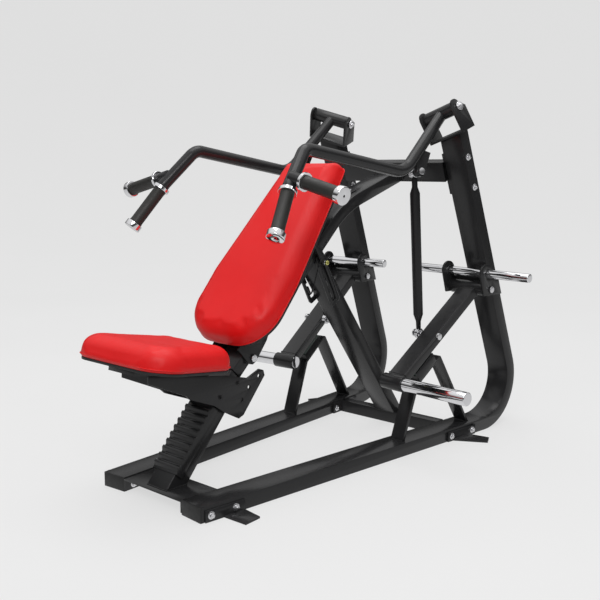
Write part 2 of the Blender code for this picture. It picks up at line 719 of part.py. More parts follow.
def press_arm(side, name):
    """The bent arm tube with its pivot housing, link lugs and grip collars, in one weldment."""
    housing = [bracket_point(side, a, AXLE_FRONT, AXLE_UP) for a in (-80, 80)]
    centre = (housing[0] + housing[1]) / 2
    bends = [mirrored(side, p) for p in ARM_BENDS]
    tip = mirrored(side, GRIP_A_END)
    path = filleted([centre, *bends, tip], ARM_RADII, steps=4)
    handle = (tip - bends[2]).normalized()
    obj = tube(path[:-1] + [bends[2] + handle * 20], ARM_R, 3)
    combine(obj, cylinder(bends[2] + handle * 12, tip, ARM_R - 4, 16), "UNION")
    grip_start, grip_end = mirrored(side, GRIP_B_START), mirrored(side, GRIP_B_END)
    grip = (grip_end - grip_start).normalized()
    combine(obj, cylinder(grip_start, grip_start + grip * 56, ARM_R, 16), "UNION")
    combine(obj, cylinder(grip_start + grip * 40, grip_end, ARM_R - 4, 16), "UNION")
    combine(obj, cylinder(grip_start + grip * 52, grip_start + grip * 64, 30.5, 20), "UNION")
    collar = bends[2] + handle * 16
    combine(obj, cylinder(collar, collar + handle * 12, 30.5, 20), "UNION")
    combine(obj, cylinder(*housing, 26), "UNION")
    hinge = mirrored(side, ROD_HINGE).normalized()
    eye = mirrored(side, ROD_TOP)
    up = (bends[0] * 0.5 + centre * 0.5 - eye)
    up = (up - hinge * up.dot(hinge)).normalized()
    across = hinge.cross(up)
    lug = [(-19, 0), *arc((0, 0), 19, 180, 360, 8)[1:], (34, 84), (-34, 84)]
    combine(obj, prism(lug, 24, 38, (eye, across, up, hinge)), "UNION")
    combine(obj, cylinder(eye + hinge * 9.6, eye + hinge * 30, 14, 20), "UNION")
    combine(obj, cylinder(eye - hinge * 40, eye + hinge * 40, 8.4, 20))
    combine(obj, cylinder(bracket_point(side, -100, AXLE_FRONT, AXLE_UP),
                          bracket_point(side, 100, AXLE_FRONT, AXLE_UP), 10.6))
    inner_path = [path[0], *path[1:-1], tip + handle * 20]
    inner_path[0] = centre + (path[1] - centre).normalized() * 12
    combine(obj, tube(inner_path, ARM_R - 7.5, 2))
    return put(smooth(obj), name, FRAME_PAINT)


def grip_sleeve(side, name, start, end):
    """A rubber sleeve over a handle."""
    start, end = mirrored(side, start), mirrored(side, end)
    obj = cylinder(start, end, 22.5, 20)
    way = (end - start).normalized()
    combine(obj, cylinder(start - way * 5, end + way * 5, ARM_R - 3.6, 16))
    return put(smooth(obj), name, RUBBER)


def grip_cap(side, name, start, end):
    """A flanged chrome end with a hole in its middle."""
    start, end = mirrored(side, start), mirrored(side, end)
    length = (end - start).length
    profile = [(4, length), (28, length), (29.5, length - 2), (29.5, 0), (4, 0), (4, length)]
    return put(smooth(turned(profile, start, end - start, 20)), name, CHROME)


def grips(side, prefix):
    a0, a1 = Vector(ARM_BENDS[2]), Vector(GRIP_A_END)
    way = (a1 - a0).normalized()
    grip_sleeve(side, prefix + "lower_grip", a0 + way * 28.4, a1 - way * 0.5)
    grip_cap(side, prefix + "lower_grip_cap", a1 + way * 0.3, a1 + way * 22)
    b0, b1 = Vector(GRIP_B_START), Vector(GRIP_B_END)
    way = (b1 - b0).normalized()
    grip_sleeve(side, prefix + "side_grip", b0 + way * 64.4, b1 - way * 0.5)
    grip_cap(side, prefix + "side_grip_cap", b1 + way * 0.3, b1 + way * 22)


def link_rod(side, name):
    """A thick rod with necked ends and an eye on each."""
    top = mirrored(side, ROD_TOP)
    low = on_side(side, (ROD_FOOT_X, ROD_FOOT_Y, ROD_FOOT_Z))
    axis = top - low
    length = axis.length
    profile = [(7, length - 12), (7, length - 17), (11, length - 18), (11, length - 52),
               (19, length - 76), (19, 78), (10, 50), (9, 15)]
    profile = [(0, profile[0][1]), *profile, (0, profile[-1][1])]
    obj = turned(profile, low, axis)
    hinge = mirrored(side, ROD_HINGE).normalized()
    out = side_axes(side)[0]
    combine(obj, cylinder(top - hinge * 9, top + hinge * 9, 17), "UNION")
    combine(obj, cylinder(low - out * 8, low + out * 8, 20), "UNION")
    combine(obj, cylinder(top - hinge * 30, top + hinge * 30, 8.4, 20))
    combine(obj, cylinder(low - out * 30, low + out * 30, 14))
    return put(smooth(obj), name, BLACK_PAINT)


def link_bolts(side, prefix):
    hinge = mirrored(side, ROD_HINGE).normalized()
    profile = [(0, 47), (13, 47), (13, 38.3), (8, 38.3), (8, -13.5), (13, -13.5), (13, -21), (0, -21)]
    upper = turned(profile, mirrored(side, ROD_TOP), hinge)
    put(smooth(upper), prefix + "link_upper_bolt", ZINC)
    profile = [(0, 50), (13, 50), (13, 40.3), (6.5, 40.3), (6.5, -73), (15, -73), (15, -78), (0, -78)]
    place, out = on_side(side, (0, ROD_FOOT_Y, ROD_FOOT_Z)), side_axes(side)[0]
    put(smooth(turned(profile, place, out)), prefix + "link_lower_bolt", ZINC)


def weight_lever(side, name):
    """The lever tube with its pivot housing and the hub that holds the plate horn."""
    plane = side_plane(side)

    def bar(along, half):
        return [lever_point(a, u) for a, u in
                ((along[0], -half), (along[1], -half), (along[1], half), (along[0], half))]

    def across(y, z, radius, reach, vertices=20):
        return cylinder(on_side(side, (-reach, y, z)), on_side(side, (reach, y, z)), radius, vertices)
    obj = rounded(prism(bar((0, LEVER_LENGTH - 8), 20), -40, 40, plane), 4, 1, 60)
    combine(obj, across(PIVOT_Y, PIVOT_Z, 28, 88), "UNION")
    hub = lever_point(LEVER_LENGTH, 0)
    combine(obj, across(*hub, 30, 49), "UNION")
    combine(obj, prism(bar((4, LEVER_LENGTH - 4), 17), -37, 37, plane))
    combine(obj, across(PIVOT_Y, PIVOT_Z, 10.6, 120))
    combine(obj, across(*hub, 25.5, 120))
    combine(obj, across(ROD_FOOT_Y, ROD_FOOT_Z, 6.9, 120, 16))
    return put(smooth(obj), name, FRAME_PAINT)


def plate_horn(side, name):
    """The chrome bar that takes the weight plates, through the lever's hub."""
    place, out = on_side(side, (0, *lever_point(LEVER_LENGTH, 0))), side_axes(side)[0]
    obj = turned([(0, HORN_END), (23, HORN_END), (25, HORN_END - 2), (25, -49), (24, -50), (0, -50)],
                 place, out)
    return put(obj, name, CHROME)


def build():
    for side, prefix in ((LEFT, "left_"), (RIGHT, "right_")):
        side_frame(side, prefix + "side_frame")
        rail_cap(side, prefix + "rail_cap")
        foot(side, prefix + "front_foot", 15, 171, FRONT_TAB, 6)
        foot(side, prefix + "rear_foot", 1215, 1391, REAR_TAB, 8)
        upper_bracket(side, prefix + "upper_bracket")
        axis = side_vector(side, HOUSING_AXIS)
        pin = headed_pin(bracket_point(side, 0, AXLE_FRONT, AXLE_UP), axis, 10, 89.3, 17, 8)
        put(smooth(pin), prefix + "upper_axle", CHROME)
        lower_bracket(side, prefix + "lower_bracket")
        pin = headed_pin(on_side(side, (0, PIVOT_Y, PIVOT_Z)), side_axes(side)[0], 10, 97.3, 13, 8)
        put(smooth(pin), prefix + "lower_axle", ZINC)
        storage_peg(side, prefix + "storage_peg")
        stop_brace(side, prefix + "stop_brace")
        stop_bumper(side, prefix + "stop_bumper")
        press_arm(side, prefix + "press_arm")
        grips(side, prefix)
        link_rod(side, prefix + "link_rod")
        link_bolts(side, prefix)
        weight_lever(side, prefix + "weight_lever")
        plate_horn(side, prefix + "plate_horn")
        adjuster_plate(side, prefix + "adjuster_plate")
    front_cross_plate()
    rear_cross_member()
    upper_cross_member()
    seat_post()
    seat_ratchet()
    center_post()
    back_spine()
    seat_carriage()
    seat_pad()
    back_pad()
    back_bracket()
    pivot = headed_pin((0, *BACK_PIVOT), X_AXIS, 8, 66.4, 13, 8)
    put(smooth(pivot), "back_pivot_bolt", ZINC)
    back_strut()
    adjuster_knob()
    wire_handle()
    for obj in [*PARTS.objects, *CUTTERS.objects]:
        obj.location.y -= MIDDLE_Y * MM


build()
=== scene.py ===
"""The looks of the plate-loaded incline press machine, built round its CAD frame."""

import json
import math

import bmesh
import bpy
from mathutils import Matrix, Vector

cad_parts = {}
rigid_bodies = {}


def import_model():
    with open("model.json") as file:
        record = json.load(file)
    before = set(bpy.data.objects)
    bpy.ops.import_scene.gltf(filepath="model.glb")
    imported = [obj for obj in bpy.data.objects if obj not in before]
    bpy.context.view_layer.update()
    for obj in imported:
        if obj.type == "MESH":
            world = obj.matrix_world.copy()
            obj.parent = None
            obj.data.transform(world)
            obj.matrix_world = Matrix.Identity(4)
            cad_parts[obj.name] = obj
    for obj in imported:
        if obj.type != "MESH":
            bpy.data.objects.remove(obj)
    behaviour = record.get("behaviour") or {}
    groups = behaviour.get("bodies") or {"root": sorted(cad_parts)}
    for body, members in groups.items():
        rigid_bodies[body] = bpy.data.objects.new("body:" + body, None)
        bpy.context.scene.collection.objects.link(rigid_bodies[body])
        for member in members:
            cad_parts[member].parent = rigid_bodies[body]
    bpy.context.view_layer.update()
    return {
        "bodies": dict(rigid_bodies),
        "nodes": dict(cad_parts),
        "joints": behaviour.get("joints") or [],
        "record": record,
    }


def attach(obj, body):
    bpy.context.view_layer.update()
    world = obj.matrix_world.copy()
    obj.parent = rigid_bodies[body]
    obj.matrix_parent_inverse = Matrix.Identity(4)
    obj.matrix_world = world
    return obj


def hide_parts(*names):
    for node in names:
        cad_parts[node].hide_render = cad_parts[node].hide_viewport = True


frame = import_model()

MM = 0.001
GAP = 0.3
CIRCLE_SIDES = 40
VOXEL = 5.5
CLOTH_FRAMES = 20
CLOTH_PRESSURE = 4
WELT_R = 1.9
BOWL_R, BOWL_BEND = 5.0, 2.5
MIDDLE_Y = 761.93

# Side frames: each lies in its own upright plane, splayed outwards to the rear
SPLAY = math.radians(4.93)
FRAME_X = 198.7
WALL = 3.0
LEAN = math.radians(20.85)
CORNER_Y = 1723.9
BEND_R = 179.0
TOP_Y, TOP_Z = 1250.2, 1198.3
TOP_TILT = math.radians(17.0)

# Floor tabs, as (outwards, backwards)
FRONT_TAB = [(51, 86), (150, 98), (138, 165), (51, 170)]
REAR_TAB = [(51, 1242), (168, 1323), (142, 1368), (51, 1345)]

# Weight levers
PIVOT_Y, PIVOT_Z = 1410.5, 600.0
LEVER_ANGLE = math.radians(34.8)
LEVER_LENGTH = 562.3
AXLE_BORE = 10.6
PEG_Y, PEG_Z = 1389.6, 664.4
STOP_SPAN = (363, 480)  # where the rubber stop lies along the lever
HORN_END = 340.0

# Press arms, left side in world coordinates
ARM_R = 22.0
ARM_BENDS = [(290, 971, 1065), (268, 451.5, 1144.7), (306, 336, 1026)]
ARM_RADII = [120, 50, 40]
GRIP_A_END = (350, 232.9, 887.7)
GRIP_B_START, GRIP_B_END = (303, 352, 1053), (503, 343.5, 1004.6)
ROD_TOP = (265, 1071, 1061.5)
ROD_FOOT_X, ROD_FOOT_Y, ROD_FOOT_Z = -56, 1153, 435
ROD_HINGE = (1, -0.273, 0.2)

# Seat and back, in the middle plane
POST_ANGLE = math.radians(49.8)
SEAT_TILT = math.radians(8.93)
BACK_ANGLE = math.radians(49.7)
BACK_PIVOT = (408, 428)
STRUT_TOP, STRUT_FOOT = (690, 860), (779, 733)
SLOT_END = (857, 589)


X_AXIS, Y_AXIS, Z_AXIS = Vector((1, 0, 0)), Vector((0, 1, 0)), Vector((0, 0, 1))
LEFT, RIGHT = 1, -1

BODY_OF = {n: body for body, nodes in frame["record"]["behaviour"]["bodies"].items() for n in nodes}
SLOT_OF = {part["node"]: part["material_slot"] for part in frame["record"]["subparts"]}
MATERIALS = {}


# ---- mesh work ----


def linked(name, data):
    """A new object of this data, in the scene."""
    obj = bpy.data.objects.new(name, data)
    bpy.context.scene.collection.objects.link(obj)
    return obj


def bake(obj):
    """Replaces the object's mesh with what its modifiers make."""
    bpy.context.view_layer.update()
    graph = bpy.context.evaluated_depsgraph_get()
    mesh = bpy.data.meshes.new_from_object(obj.evaluated_get(graph))
    obj.modifiers.clear()
    obj.data = mesh
    return obj


def combine(obj, tool, operation):
    """An exact Boolean, applied at once."""
    step = obj.modifiers.new("Boolean", "BOOLEAN")
    step.operation = operation
    step.solver = "EXACT"
    step.object = tool
    bake(obj)
    bpy.data.objects.remove(tool, do_unlink=True)
    return obj


def add(obj, *tools):
    for tool in tools:
        combine(obj, tool, "UNION")


def cut(obj, *tools):
    for tool in tools:
        combine(obj, tool, "DIFFERENCE")


def settle(obj, name, slot, body, edge=1.0, segments=2, angle=38):
    """Rounds the sharp edges, puts the mesh in the row frame and lets it ride on its body."""
    if edge:
        rounded(obj, edge, segments, angle)
    bake(obj)
    mesh = obj.data
    mesh.transform(Matrix.Translation((0, -MIDDLE_Y * MM, 0)) @ obj.matrix_world)
    obj.matrix_world = Matrix.Identity(4)
    obj.name = name
    mesh.name = name
    mesh.shade_smooth()
    mesh.set_sharp_from_angle(angle=math.radians(42))
    mesh.materials.clear()
    mesh.materials.append(MATERIALS[slot])
    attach(obj, body)
    return obj


def put(obj, name, edge=1.0, segments=2, angle=38):
    """The finished piece that stands for the CAD node of this name."""
    settle(obj, name + "_look", SLOT_OF[name], BODY_OF[name], edge, segments, angle)
    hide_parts(name)
    return obj


def meshed(curve):
    """The mesh object that a curve object makes, with its caps welded on."""
    graph = bpy.context.evaluated_depsgraph_get()
    mesh = bpy.data.meshes.new_from_object(curve.evaluated_get(graph))
    work = bmesh.new()
    work.from_mesh(mesh)
    bmesh.ops.remove_doubles(work, verts=work.verts, dist=1e-5)
    bmesh.ops.recalc_face_normals(work, faces=work.faces)
    work.to_mesh(mesh)
    work.free()
    obj = linked(curve.name, mesh)
    obj.matrix_world = curve.matrix_world.copy()
    bpy.data.objects.remove(curve, do_unlink=True)
    return obj


def placed(origin, u, v):
    """A matrix whose local X, Y run along u, v, at a point given in millimetres."""
    u, v = Vector(u).normalized(), Vector(v).normalized()
    turn = Matrix((u, v, u.cross(v))).transposed().to_4x4()
    return Matrix.Translation(Vector(origin) * MM) @ turn


def prism(outline, low, high, frame, holes=()):
    """A flat outline, in millimetres along frame's u and v, made into a solid from low to high along n."""
    origin, u, v, n = frame
    data = bpy.data.curves.new("outline", "CURVE")
    data.dimensions = "2D"
    data.fill_mode = "BOTH"
    data.extrude = (high - low) / 2 * MM
    for points in (outline, *holes):
        spline = data.splines.new("POLY")
        spline.points.add(len(points) - 1)
        for point, (x, y) in zip(spline.points, points):
            point.co = (x * MM, y * MM, 0, 1)
        spline.use_cyclic_u = True
    obj = linked("outline", data)
    obj.matrix_world = placed(Vector(origin) + Vector(n) * (low + high) / 2, u, v)
    return meshed(obj)


def cylinder(start, end, radius, vertices=48):
    start, end = Vector(start), Vector(end)
    axis = end - start
    bpy.ops.mesh.primitive_cylinder_add(
        vertices=vertices,
        radius=radius * MM,
        depth=axis.length * MM,
        location=(start + end) / 2 * MM,
        rotation=axis.to_track_quat("Z", "Y").to_euler(),
    )
    return bpy.context.object


def turned(profile, origin, axis, steps=64):
    """A Screw of the profile, (radius, height) pairs running from the top down, about axis."""
    mesh = bpy.data.meshes.new("profile")
    points = [(r * MM, 0, h * MM) for r, h in profile]
    mesh.from_pydata(points, [(i, i + 1) for i in range(len(points) - 1)], [])
    obj = linked("profile", mesh)
    obj.location = Vector(origin) * MM
    obj.rotation_euler = Vector(axis).to_track_quat("Z", "Y").to_euler()
    screw = obj.modifiers.new("Screw", "SCREW")
    screw.axis = "Z"
    screw.steps = screw.render_steps = steps
    screw.use_merge_vertices = True
    screw.merge_threshold = 1e-5
    screw.use_smooth_shade = True
    return obj


def tube(points, radius, resolution=9, closed=False, ripple=0.0):
    """A round bar along points in millimetres; ripple varies its thickness from point to point."""
    data = bpy.data.curves.new("tube", "CURVE")
    data.dimensions = "3D"
    data.bevel_depth = radius * MM
    data.bevel_resolution = resolution
    data.use_fill_caps = not closed
    spline = data.splines.new("POLY")
    spline.points.add(len(points) - 1)
    spline.use_cyclic_u = closed
    for i, (point, place) in enumerate(zip(spline.points, points)):
        point.co = (*(Vector(place) * MM), 1)
        point.radius = 1 + ripple * math.sin(i * 2.1)
    obj = linked("tube", data)
    bpy.context.view_layer.update()
    return meshed(obj)


def rounded(obj, width, segments=2, angle=40):
    bevel = obj.modifiers.new("Bevel", "BEVEL")
    bevel.width = width * MM
    bevel.segments = segments
    bevel.limit_method = "ANGLE"
    bevel.angle_limit = math.radians(angle)
    return obj


def filleted(points, radii, steps=6):
    """The points of a path whose inner corners are turned into arcs."""
    points = [Vector(p) for p in points]
    path = [points[0]]
    for before, corner, after, radius in zip(points, points[1:], points[2:], radii):
        a, b = (before - corner).normalized(), (after - corner).normalized()
        half = a.angle(b) / 2
        reach = radius / math.tan(half)
        centre = corner + (a + b).normalized() * radius / math.sin(half)
        start, end = corner + a * reach - centre, corner + b * reach - centre
        sweep = start.angle(end)
        for i in range(steps + 1):
            t = i / steps
            arm = start * math.sin((1 - t) * sweep) + end * math.sin(t * sweep)
            path.append(centre + arm / math.sin(sweep))
    return path + [points[-1]]


def strip(path, low, high):
    """The outline of a band along a flat path, from low to high on the left of its direction."""
    path = [Vector(p) for p in path]
    lower, upper = [], []
    for i, point in enumerate(path):
        before = (point - path[i - 1]).normalized() if i else None
        after = (path[i + 1] - point).normalized() if i + 1 < len(path) else None
        before, after = before or after, after or before
        along = (before + after).normalized()
        left = Vector((-along.y, along.x)) / max(along.dot(after), 0.2)
        lower.append(tuple(point + left * low))
        upper.append(tuple(point + left * high))
    return lower + upper[::-1]


def arc(centre, radius, start, end, steps):
    """Points of an arc between two angles in degrees, three for each step."""
    steps *= 3
    angles = [math.radians(start + (end - start) * i / steps) for i in range(steps + 1)]
    return [(centre[0] + radius * math.cos(a), centre[1] + radius * math.sin(a)) for a in angles]


def circle(centre, radius):
    turn = math.tau / CIRCLE_SIDES
    return [(centre[0] + radius * math.cos(i * turn), centre[1] + radius * math.sin(i * turn))
            for i in range(CIRCLE_SIDES)]


def twin(outline, low, high, holes=()):
    """Two equal plates, to the left and right of the middle plane."""
    obj = prism(outline, low, high, MIDDLE, holes)
    add(obj, prism(outline, -high, -low, MIDDLE, holes))
    return obj


def box(x, y, frame, low, high):
    return prism([(x[0], y[0]), (x[1], y[0]), (x[1], y[1]), (x[0], y[1])], low, high, frame)


# ---- frames of reference ----

MIDDLE = (Vector((0, 0, 0)), Y_AXIS, Z_AXIS, X_AXIS)


def side_axes(side):
    out = Vector((side * math.cos(SPLAY), -math.sin(SPLAY), 0))
    back = Vector((side * math.sin(SPLAY), math.cos(SPLAY), 0))
    return out, back


def on_side(side, point):
    """World place of a point given as (outwards, backwards, up) in a side frame's plane."""
    out, back = side_axes(side)
    x, y, z = point
    return Vector((side * FRAME_X, 0, 0)) + out * x + back * y + Z_AXIS * z


def side_vector(side, vector):
    out, back = side_axes(side)
    return out * vector[0] + back * vector[1] + Z_AXIS * vector[2]


def side_plane(side):
    """Outlines in it are (backwards, up), and its depth runs outwards."""
    out, back = side_axes(side)
    return on_side(side, (0, 0, 0)), back, Z_AXIS, out


UPRIGHT_UP = Vector((0, -math.sin(LEAN), math.cos(LEAN)))
UPRIGHT_FRONT = Vector((0, -math.cos(LEAN), -math.sin(LEAN)))
HOUSING_AXIS = X_AXIS * math.cos(TOP_TILT) + UPRIGHT_UP * math.sin(TOP_TILT)
HOUSING_UP = UPRIGHT_UP * math.cos(TOP_TILT) - X_AXIS * math.sin(TOP_TILT)
AXLE_UP, AXLE_FRONT = 94.0, -16.0


def bracket_point(side, across, front, up):
    """World place of a point in the tilted top bracket."""
    place = Vector((0, TOP_Y, TOP_Z)) + HOUSING_AXIS * across + UPRIGHT_FRONT * front
    return on_side(side, place + HOUSING_UP * up)


def front_face(z):
    """How far back the upright's front face is at this height."""
    return TOP_Y + (TOP_Z - z) * math.tan(LEAN)


def lever_point(along, up):
    """(backwards, up) of a point given along the lever from its pivot and above its centre line."""
    c, s = math.cos(LEVER_ANGLE), math.sin(LEVER_ANGLE)
    return PIVOT_Y - along * c - up * s, PIVOT_Z - along * s + up * c


def axle_bore(side):
    """A cutter for the press arm's axle, through the top bracket."""
    ends = [bracket_point(side, across, AXLE_FRONT, AXLE_UP) for across in (-100, 100)]
    return cylinder(*ends, AXLE_BORE)


def crosswise(side, y, z, radius, reach=120):
    """A cylinder straight through a side frame's plane, to this far on both sides."""
    return cylinder(on_side(side, (-reach, y, z)), on_side(side, (reach, y, z)), radius)


def lever_box(side, along, up, x):
    """A block lined up with the weight lever."""
    corners = [lever_point(a, u) for a, u in
               ((along[0], up[0]), (along[1], up[0]), (along[1], up[1]), (along[0], up[1]))]
    return prism(corners, *x, side_plane(side))


def mirrored(side, point):
    return Vector((side * point[0], point[1], point[2]))


# ---- fixed frame ----


def side_frame(side, name):
    """One bent rectangular tube: the floor rail, the bend and the leaning upright."""
    end = Vector((TOP_Y, TOP_Z)) + UPRIGHT_UP.yz * 60
    end -= UPRIGHT_FRONT.yz * 25
    def centre_line(start):
        return filleted([(start, 25), (CORNER_Y, 25), end], [BEND_R], steps=40)
    plane = side_plane(side)
    obj = prism(strip(centre_line(3.3), -25, 25), -50, 50, plane)
    rounded(obj, 6, 2, 60)
    cut(obj, prism(strip(centre_line(-10), WALL - 25, 25 - WALL), WALL - 50, 50 - WALL, plane))
    tilted = [side_vector(side, v) for v in (HOUSING_AXIS, UPRIGHT_FRONT, HOUSING_UP)]
    cut(obj, box((-160, 160), (-120, 120), (bracket_point(side, 0, 0, 0), *tilted), 0, 130))
    return put(obj, name)


def rail_cap(side, name):
    plane = side_plane(side)
    obj = box((0, 3), (0, 50), plane, -50, 50)
    add(obj, box((2, 22), (WALL + 0.6, 49.4 - WALL), plane, WALL - 49.4, 49.4 - WALL))
    return put(obj, name)


def foot(side, name, start, end, tab, thick):
    """An angle bracket on the rail's outer side, with a tab that lies on the floor."""
    obj = box((start, end), (0.3, 40), side_plane(side), 50 + GAP, 57)
    add(obj, prism(tab, 0, thick, (on_side(side, (0, 0, 0)), *side_axes(side), Z_AXIS)))
    return put(obj, name)


def front_cross_plate():
    """A thin deck level with the rail tops, with a bent-down flange at each end."""
    def edge(side, y):
        return on_side(side, (-50 - GAP, y, 0)).xy
    corners = [edge(LEFT, 0), edge(LEFT, 147), edge(RIGHT, 147), edge(RIGHT, 0)]
    level = (Vector((0, 0, 0)), X_AXIS, Y_AXIS, Z_AXIS)
    obj = prism([tuple(c) for c in corners], 41, 47, level)
    for side in (LEFT, RIGHT):
        add(obj, box((0.2, 146.8), (6, 46.5), side_plane(side), -56.5, -50.6))
    return put(obj, "front_cross_plate")


def cross_member(name, outline, inner, plate, reach):
    """A square tube between the side frames, welded to a bolted plate at each end."""
    obj = prism(outline, -reach, reach, MIDDLE)
    for side in (LEFT, RIGHT):
        end = prism(plate, -58.3, -50 - GAP, side_plane(side))
        add(obj, end)
    cut(obj, prism(inner, -400, 400, MIDDLE))
    return put(obj, name)


def rear_cross_member():
    outline = [(1271, 0), (1321, 0), (1321, 50), (1271, 50)]
    inner = [(1274, 3), (1318, 3), (1318, 47), (1274, 47)]
    y0, y1 = 1215, 1391
    plate = [(y0, 0.3), (y1, 0.3), (y1, 46), (y0, 46)]
    return cross_member("rear_cross_member", outline, inner, plate, 256)


def upper_cross_member():
    up, back = UPRIGHT_UP.yz, -UPRIGHT_FRONT.yz
    low = Vector((1299, 1026))
    middle = Vector((front_face(1065) + 25 / math.cos(LEAN), 1065))

    def rect(base, x0, x1, y0, y1):
        return [tuple(base + back * x + up * y) for x, y in ((x0, y0), (x1, y0), (x1, y1), (x0, y1))]
    return cross_member("upper_cross_member", rect(low, 0, 40, 0, 80.4),
                        rect(low, 3, 37, 3, 77.4), rect(middle, -25, 25, -84, 84), 255)


def inset(low_front, low_rear, top_rear, top_front):
    """The hollow of a post drawn as four corners, run past both its ends."""
    a, b, c, d = (Vector(p) for p in (low_front, low_rear, top_rear, top_front))
    front, rear = (d - a).normalized(), (c - b).normalized()
    across = Vector((-front.y, front.x))
    if across.dot(b - a) < 0:
        across = -across
    return [tuple(p) for p in (a + across * WALL - front * 40, b - across * WALL - rear * 40,
                               c - across * WALL + rear * 60, d + across * WALL + front * 60)]


def straight_post(name, corners):
    obj = rounded(prism(corners, -50, 50, MIDDLE), 5, 2, 60)
    cut(obj, prism(inset(*corners), WALL - 50, 50 - WALL, MIDDLE))
    return put(obj, name)


def seat_post():
    corners = [(24, 47.3), (111.8, 47.3), (368.8, 351.1), (322.6, 400.2)]
    return straight_post("seat_post", corners)


def center_post():
    corners = [(1261, 50.3), (1323.3, 50.3), (789.3, 766.4), (753.2, 730.9)]
    return straight_post("center_post", corners)


def back_spine():
    """The bent tube that carries the back, from the upper cross member down to the seat post."""
    lower_edge = filleted([(1296, 1030.8), (943.3, 911.6), (359, 362)], [440], steps=24)
    obj = rounded(prism(strip(lower_edge, -50, 0), -50, 50, MIDDLE), 5, 2, 60)
    long_edge = filleted([(1325, 1040.6), (943.3, 911.6), (322, 327)], [440], steps=24)
    cut(obj, prism(strip(long_edge, WALL - 50, -WALL), WALL - 50, 50 - WALL, MIDDLE))
    slope = UPRIGHT_UP.yz
    back = -UPRIGHT_FRONT.yz
    face = Vector((1299, 1026)) - back * GAP
    block = [tuple(face - slope * 60), tuple(face - slope * 60 + back * 80),
             tuple(face + slope * 140 + back * 80), tuple(face + slope * 140)]
    cut(obj, prism(block, -70, 70, MIDDLE))
    cut(obj, cylinder((-80, *BACK_PIVOT), (80, *BACK_PIVOT), 8.4))
    return put(obj, "back_spine")


def post_point(along, front):
    """(y, z) of a point along the seat post and in front of its front face."""
    c, s = math.cos(POST_ANGLE), math.sin(POST_ANGLE)
    return 24 + along * c - front * s, 47.3 + along * s + front * c


def seat_ratchet():
    """A channel over the post's front, whose teeth hold the seat at each height."""
    teeth, pitch = 9, 26.5
    outline = [post_point(59, -28), post_point(316, -28), post_point(316, 5)]
    for i in reversed(range(teeth)):
        foot_at = 68 + i * pitch
        outline += [post_point(foot_at + 22, 5), post_point(foot_at + 18, 13),
                    post_point(foot_at + 10, 13), post_point(foot_at, 5)]
    outline += [post_point(59, 5)]
    obj = prism(outline, -60, 60, MIDDLE)
    space = [post_point(20, -90), post_point(360, -90), post_point(360, GAP), post_point(20, GAP)]
    cut(obj, prism(space, -50.3, 50.3, MIDDLE))
    return put(obj, "seat_ratchet")


def channel(inner, outer):
    """The section of a U-shaped bracket that stands on its back."""
    return [(-outer, GAP), (outer, GAP), (outer, 140), (inner, 140), (inner, 8), (-inner, 8),
            (-inner, 140), (-outer, 140)]


def upper_bracket(side, name):
    """A U-shaped bracket on the tilted top of the upright, which holds the press arm's axle."""
    origin = bracket_point(side, 0, 0, 0)
    across, front, up = (side_vector(side, v) for v in (HOUSING_AXIS, UPRIGHT_FRONT, HOUSING_UP))
    obj = prism(channel(81, 89), -60, 30, (origin, across, up, front))
    ear = [(22, 0), (22, 102), *arc((-3, 106), 22, 15, 165, 6), (-54, 88), (-54, 0)]
    combine(obj, prism(ear, -95, 95, (origin, front, up, across)), "INTERSECT")
    cut(obj, axle_bore(side))
    return put(obj, name)


def headed_pin(place, axis, shank, half, head, head_length):
    """A pin with a round head at both ends, half being where the heads begin."""
    profile = [(0, half + head_length), (head, half + head_length), (head, half), (shank, half),
               (shank, -half), (head, -half), (head, -half - head_length), (0, -half - head_length)]
    return turned(profile, place, axis)


def lower_bracket(side, name):
    """A U-shaped bracket on the upright's front face, for the weight lever and the storage peg."""
    out, back = side_axes(side)
    origin = on_side(side, (0, front_face(640), 640))
    front, up = side_vector(side, UPRIGHT_FRONT), side_vector(side, UPRIGHT_UP)
    obj = prism(channel(89, 97), -120, 120, (origin, out, front, up))
    ear = [(1367, 577), *arc((1379, 666), 38, 180, 10, 24), (1418, 640), (front_face(640), 640),
           (front_face(577), 577)]
    combine(obj, prism(ear, -110, 110, side_plane(side)), "INTERSECT")
    cut(obj, crosswise(side, PIVOT_Y, PIVOT_Z, AXLE_BORE), crosswise(side, PEG_Y, PEG_Z, 17.9))
    return put(obj, name)


def storage_peg(side, name):
    place, out = on_side(side, (43, PEG_Y, PEG_Z)), side_axes(side)[0]
    inner = -296 if side == LEFT else -246
    obj = turned([(0, 246), (15.5, 246), (17.5, 244), (17.5, inner + 2), (15.5, inner), (0, inner)],
                 place, out)
    return put(obj, name)


def stop_corner(radius, steps):
    """The bend at the brace's highest point, outer for the large radius and inner for the small one."""
    along, up = (325.5, -68) if radius > 5 else (336, -78.5)
    corners = [lever_point(along + 60, up), lever_point(along, up), (1377 - (along > 330) * 12, 50.3)]
    return [tuple(p) for p in filleted(corners, [radius], steps)[1:-1]]


def stop_brace(side, name):
    """A bent bar on the rail that the weight lever comes to rest over."""
    plane = side_plane(side)
    outline = [(966, 50.3), lever_point(496, -68), *stop_corner(12, 8), (1377, 50.3), (1365, 50.3),
               *reversed(stop_corner(3, 4)), lever_point(485, -78.5), (979, 50.3)]
    obj = prism(outline, -30, 30, plane)

    add(obj, lever_box(side, STOP_SPAN, (-72, -41), (-29, 33)))
    add(obj, lever_box(side, STOP_SPAN, (-72, -24), (32.6, 38)))
    return put(obj, name)


def stop_bumper(side, name):
    return put(rounded(lever_box(side, STOP_SPAN, (-40.7, -20.3), (-29, 32)), 3, 1), name)


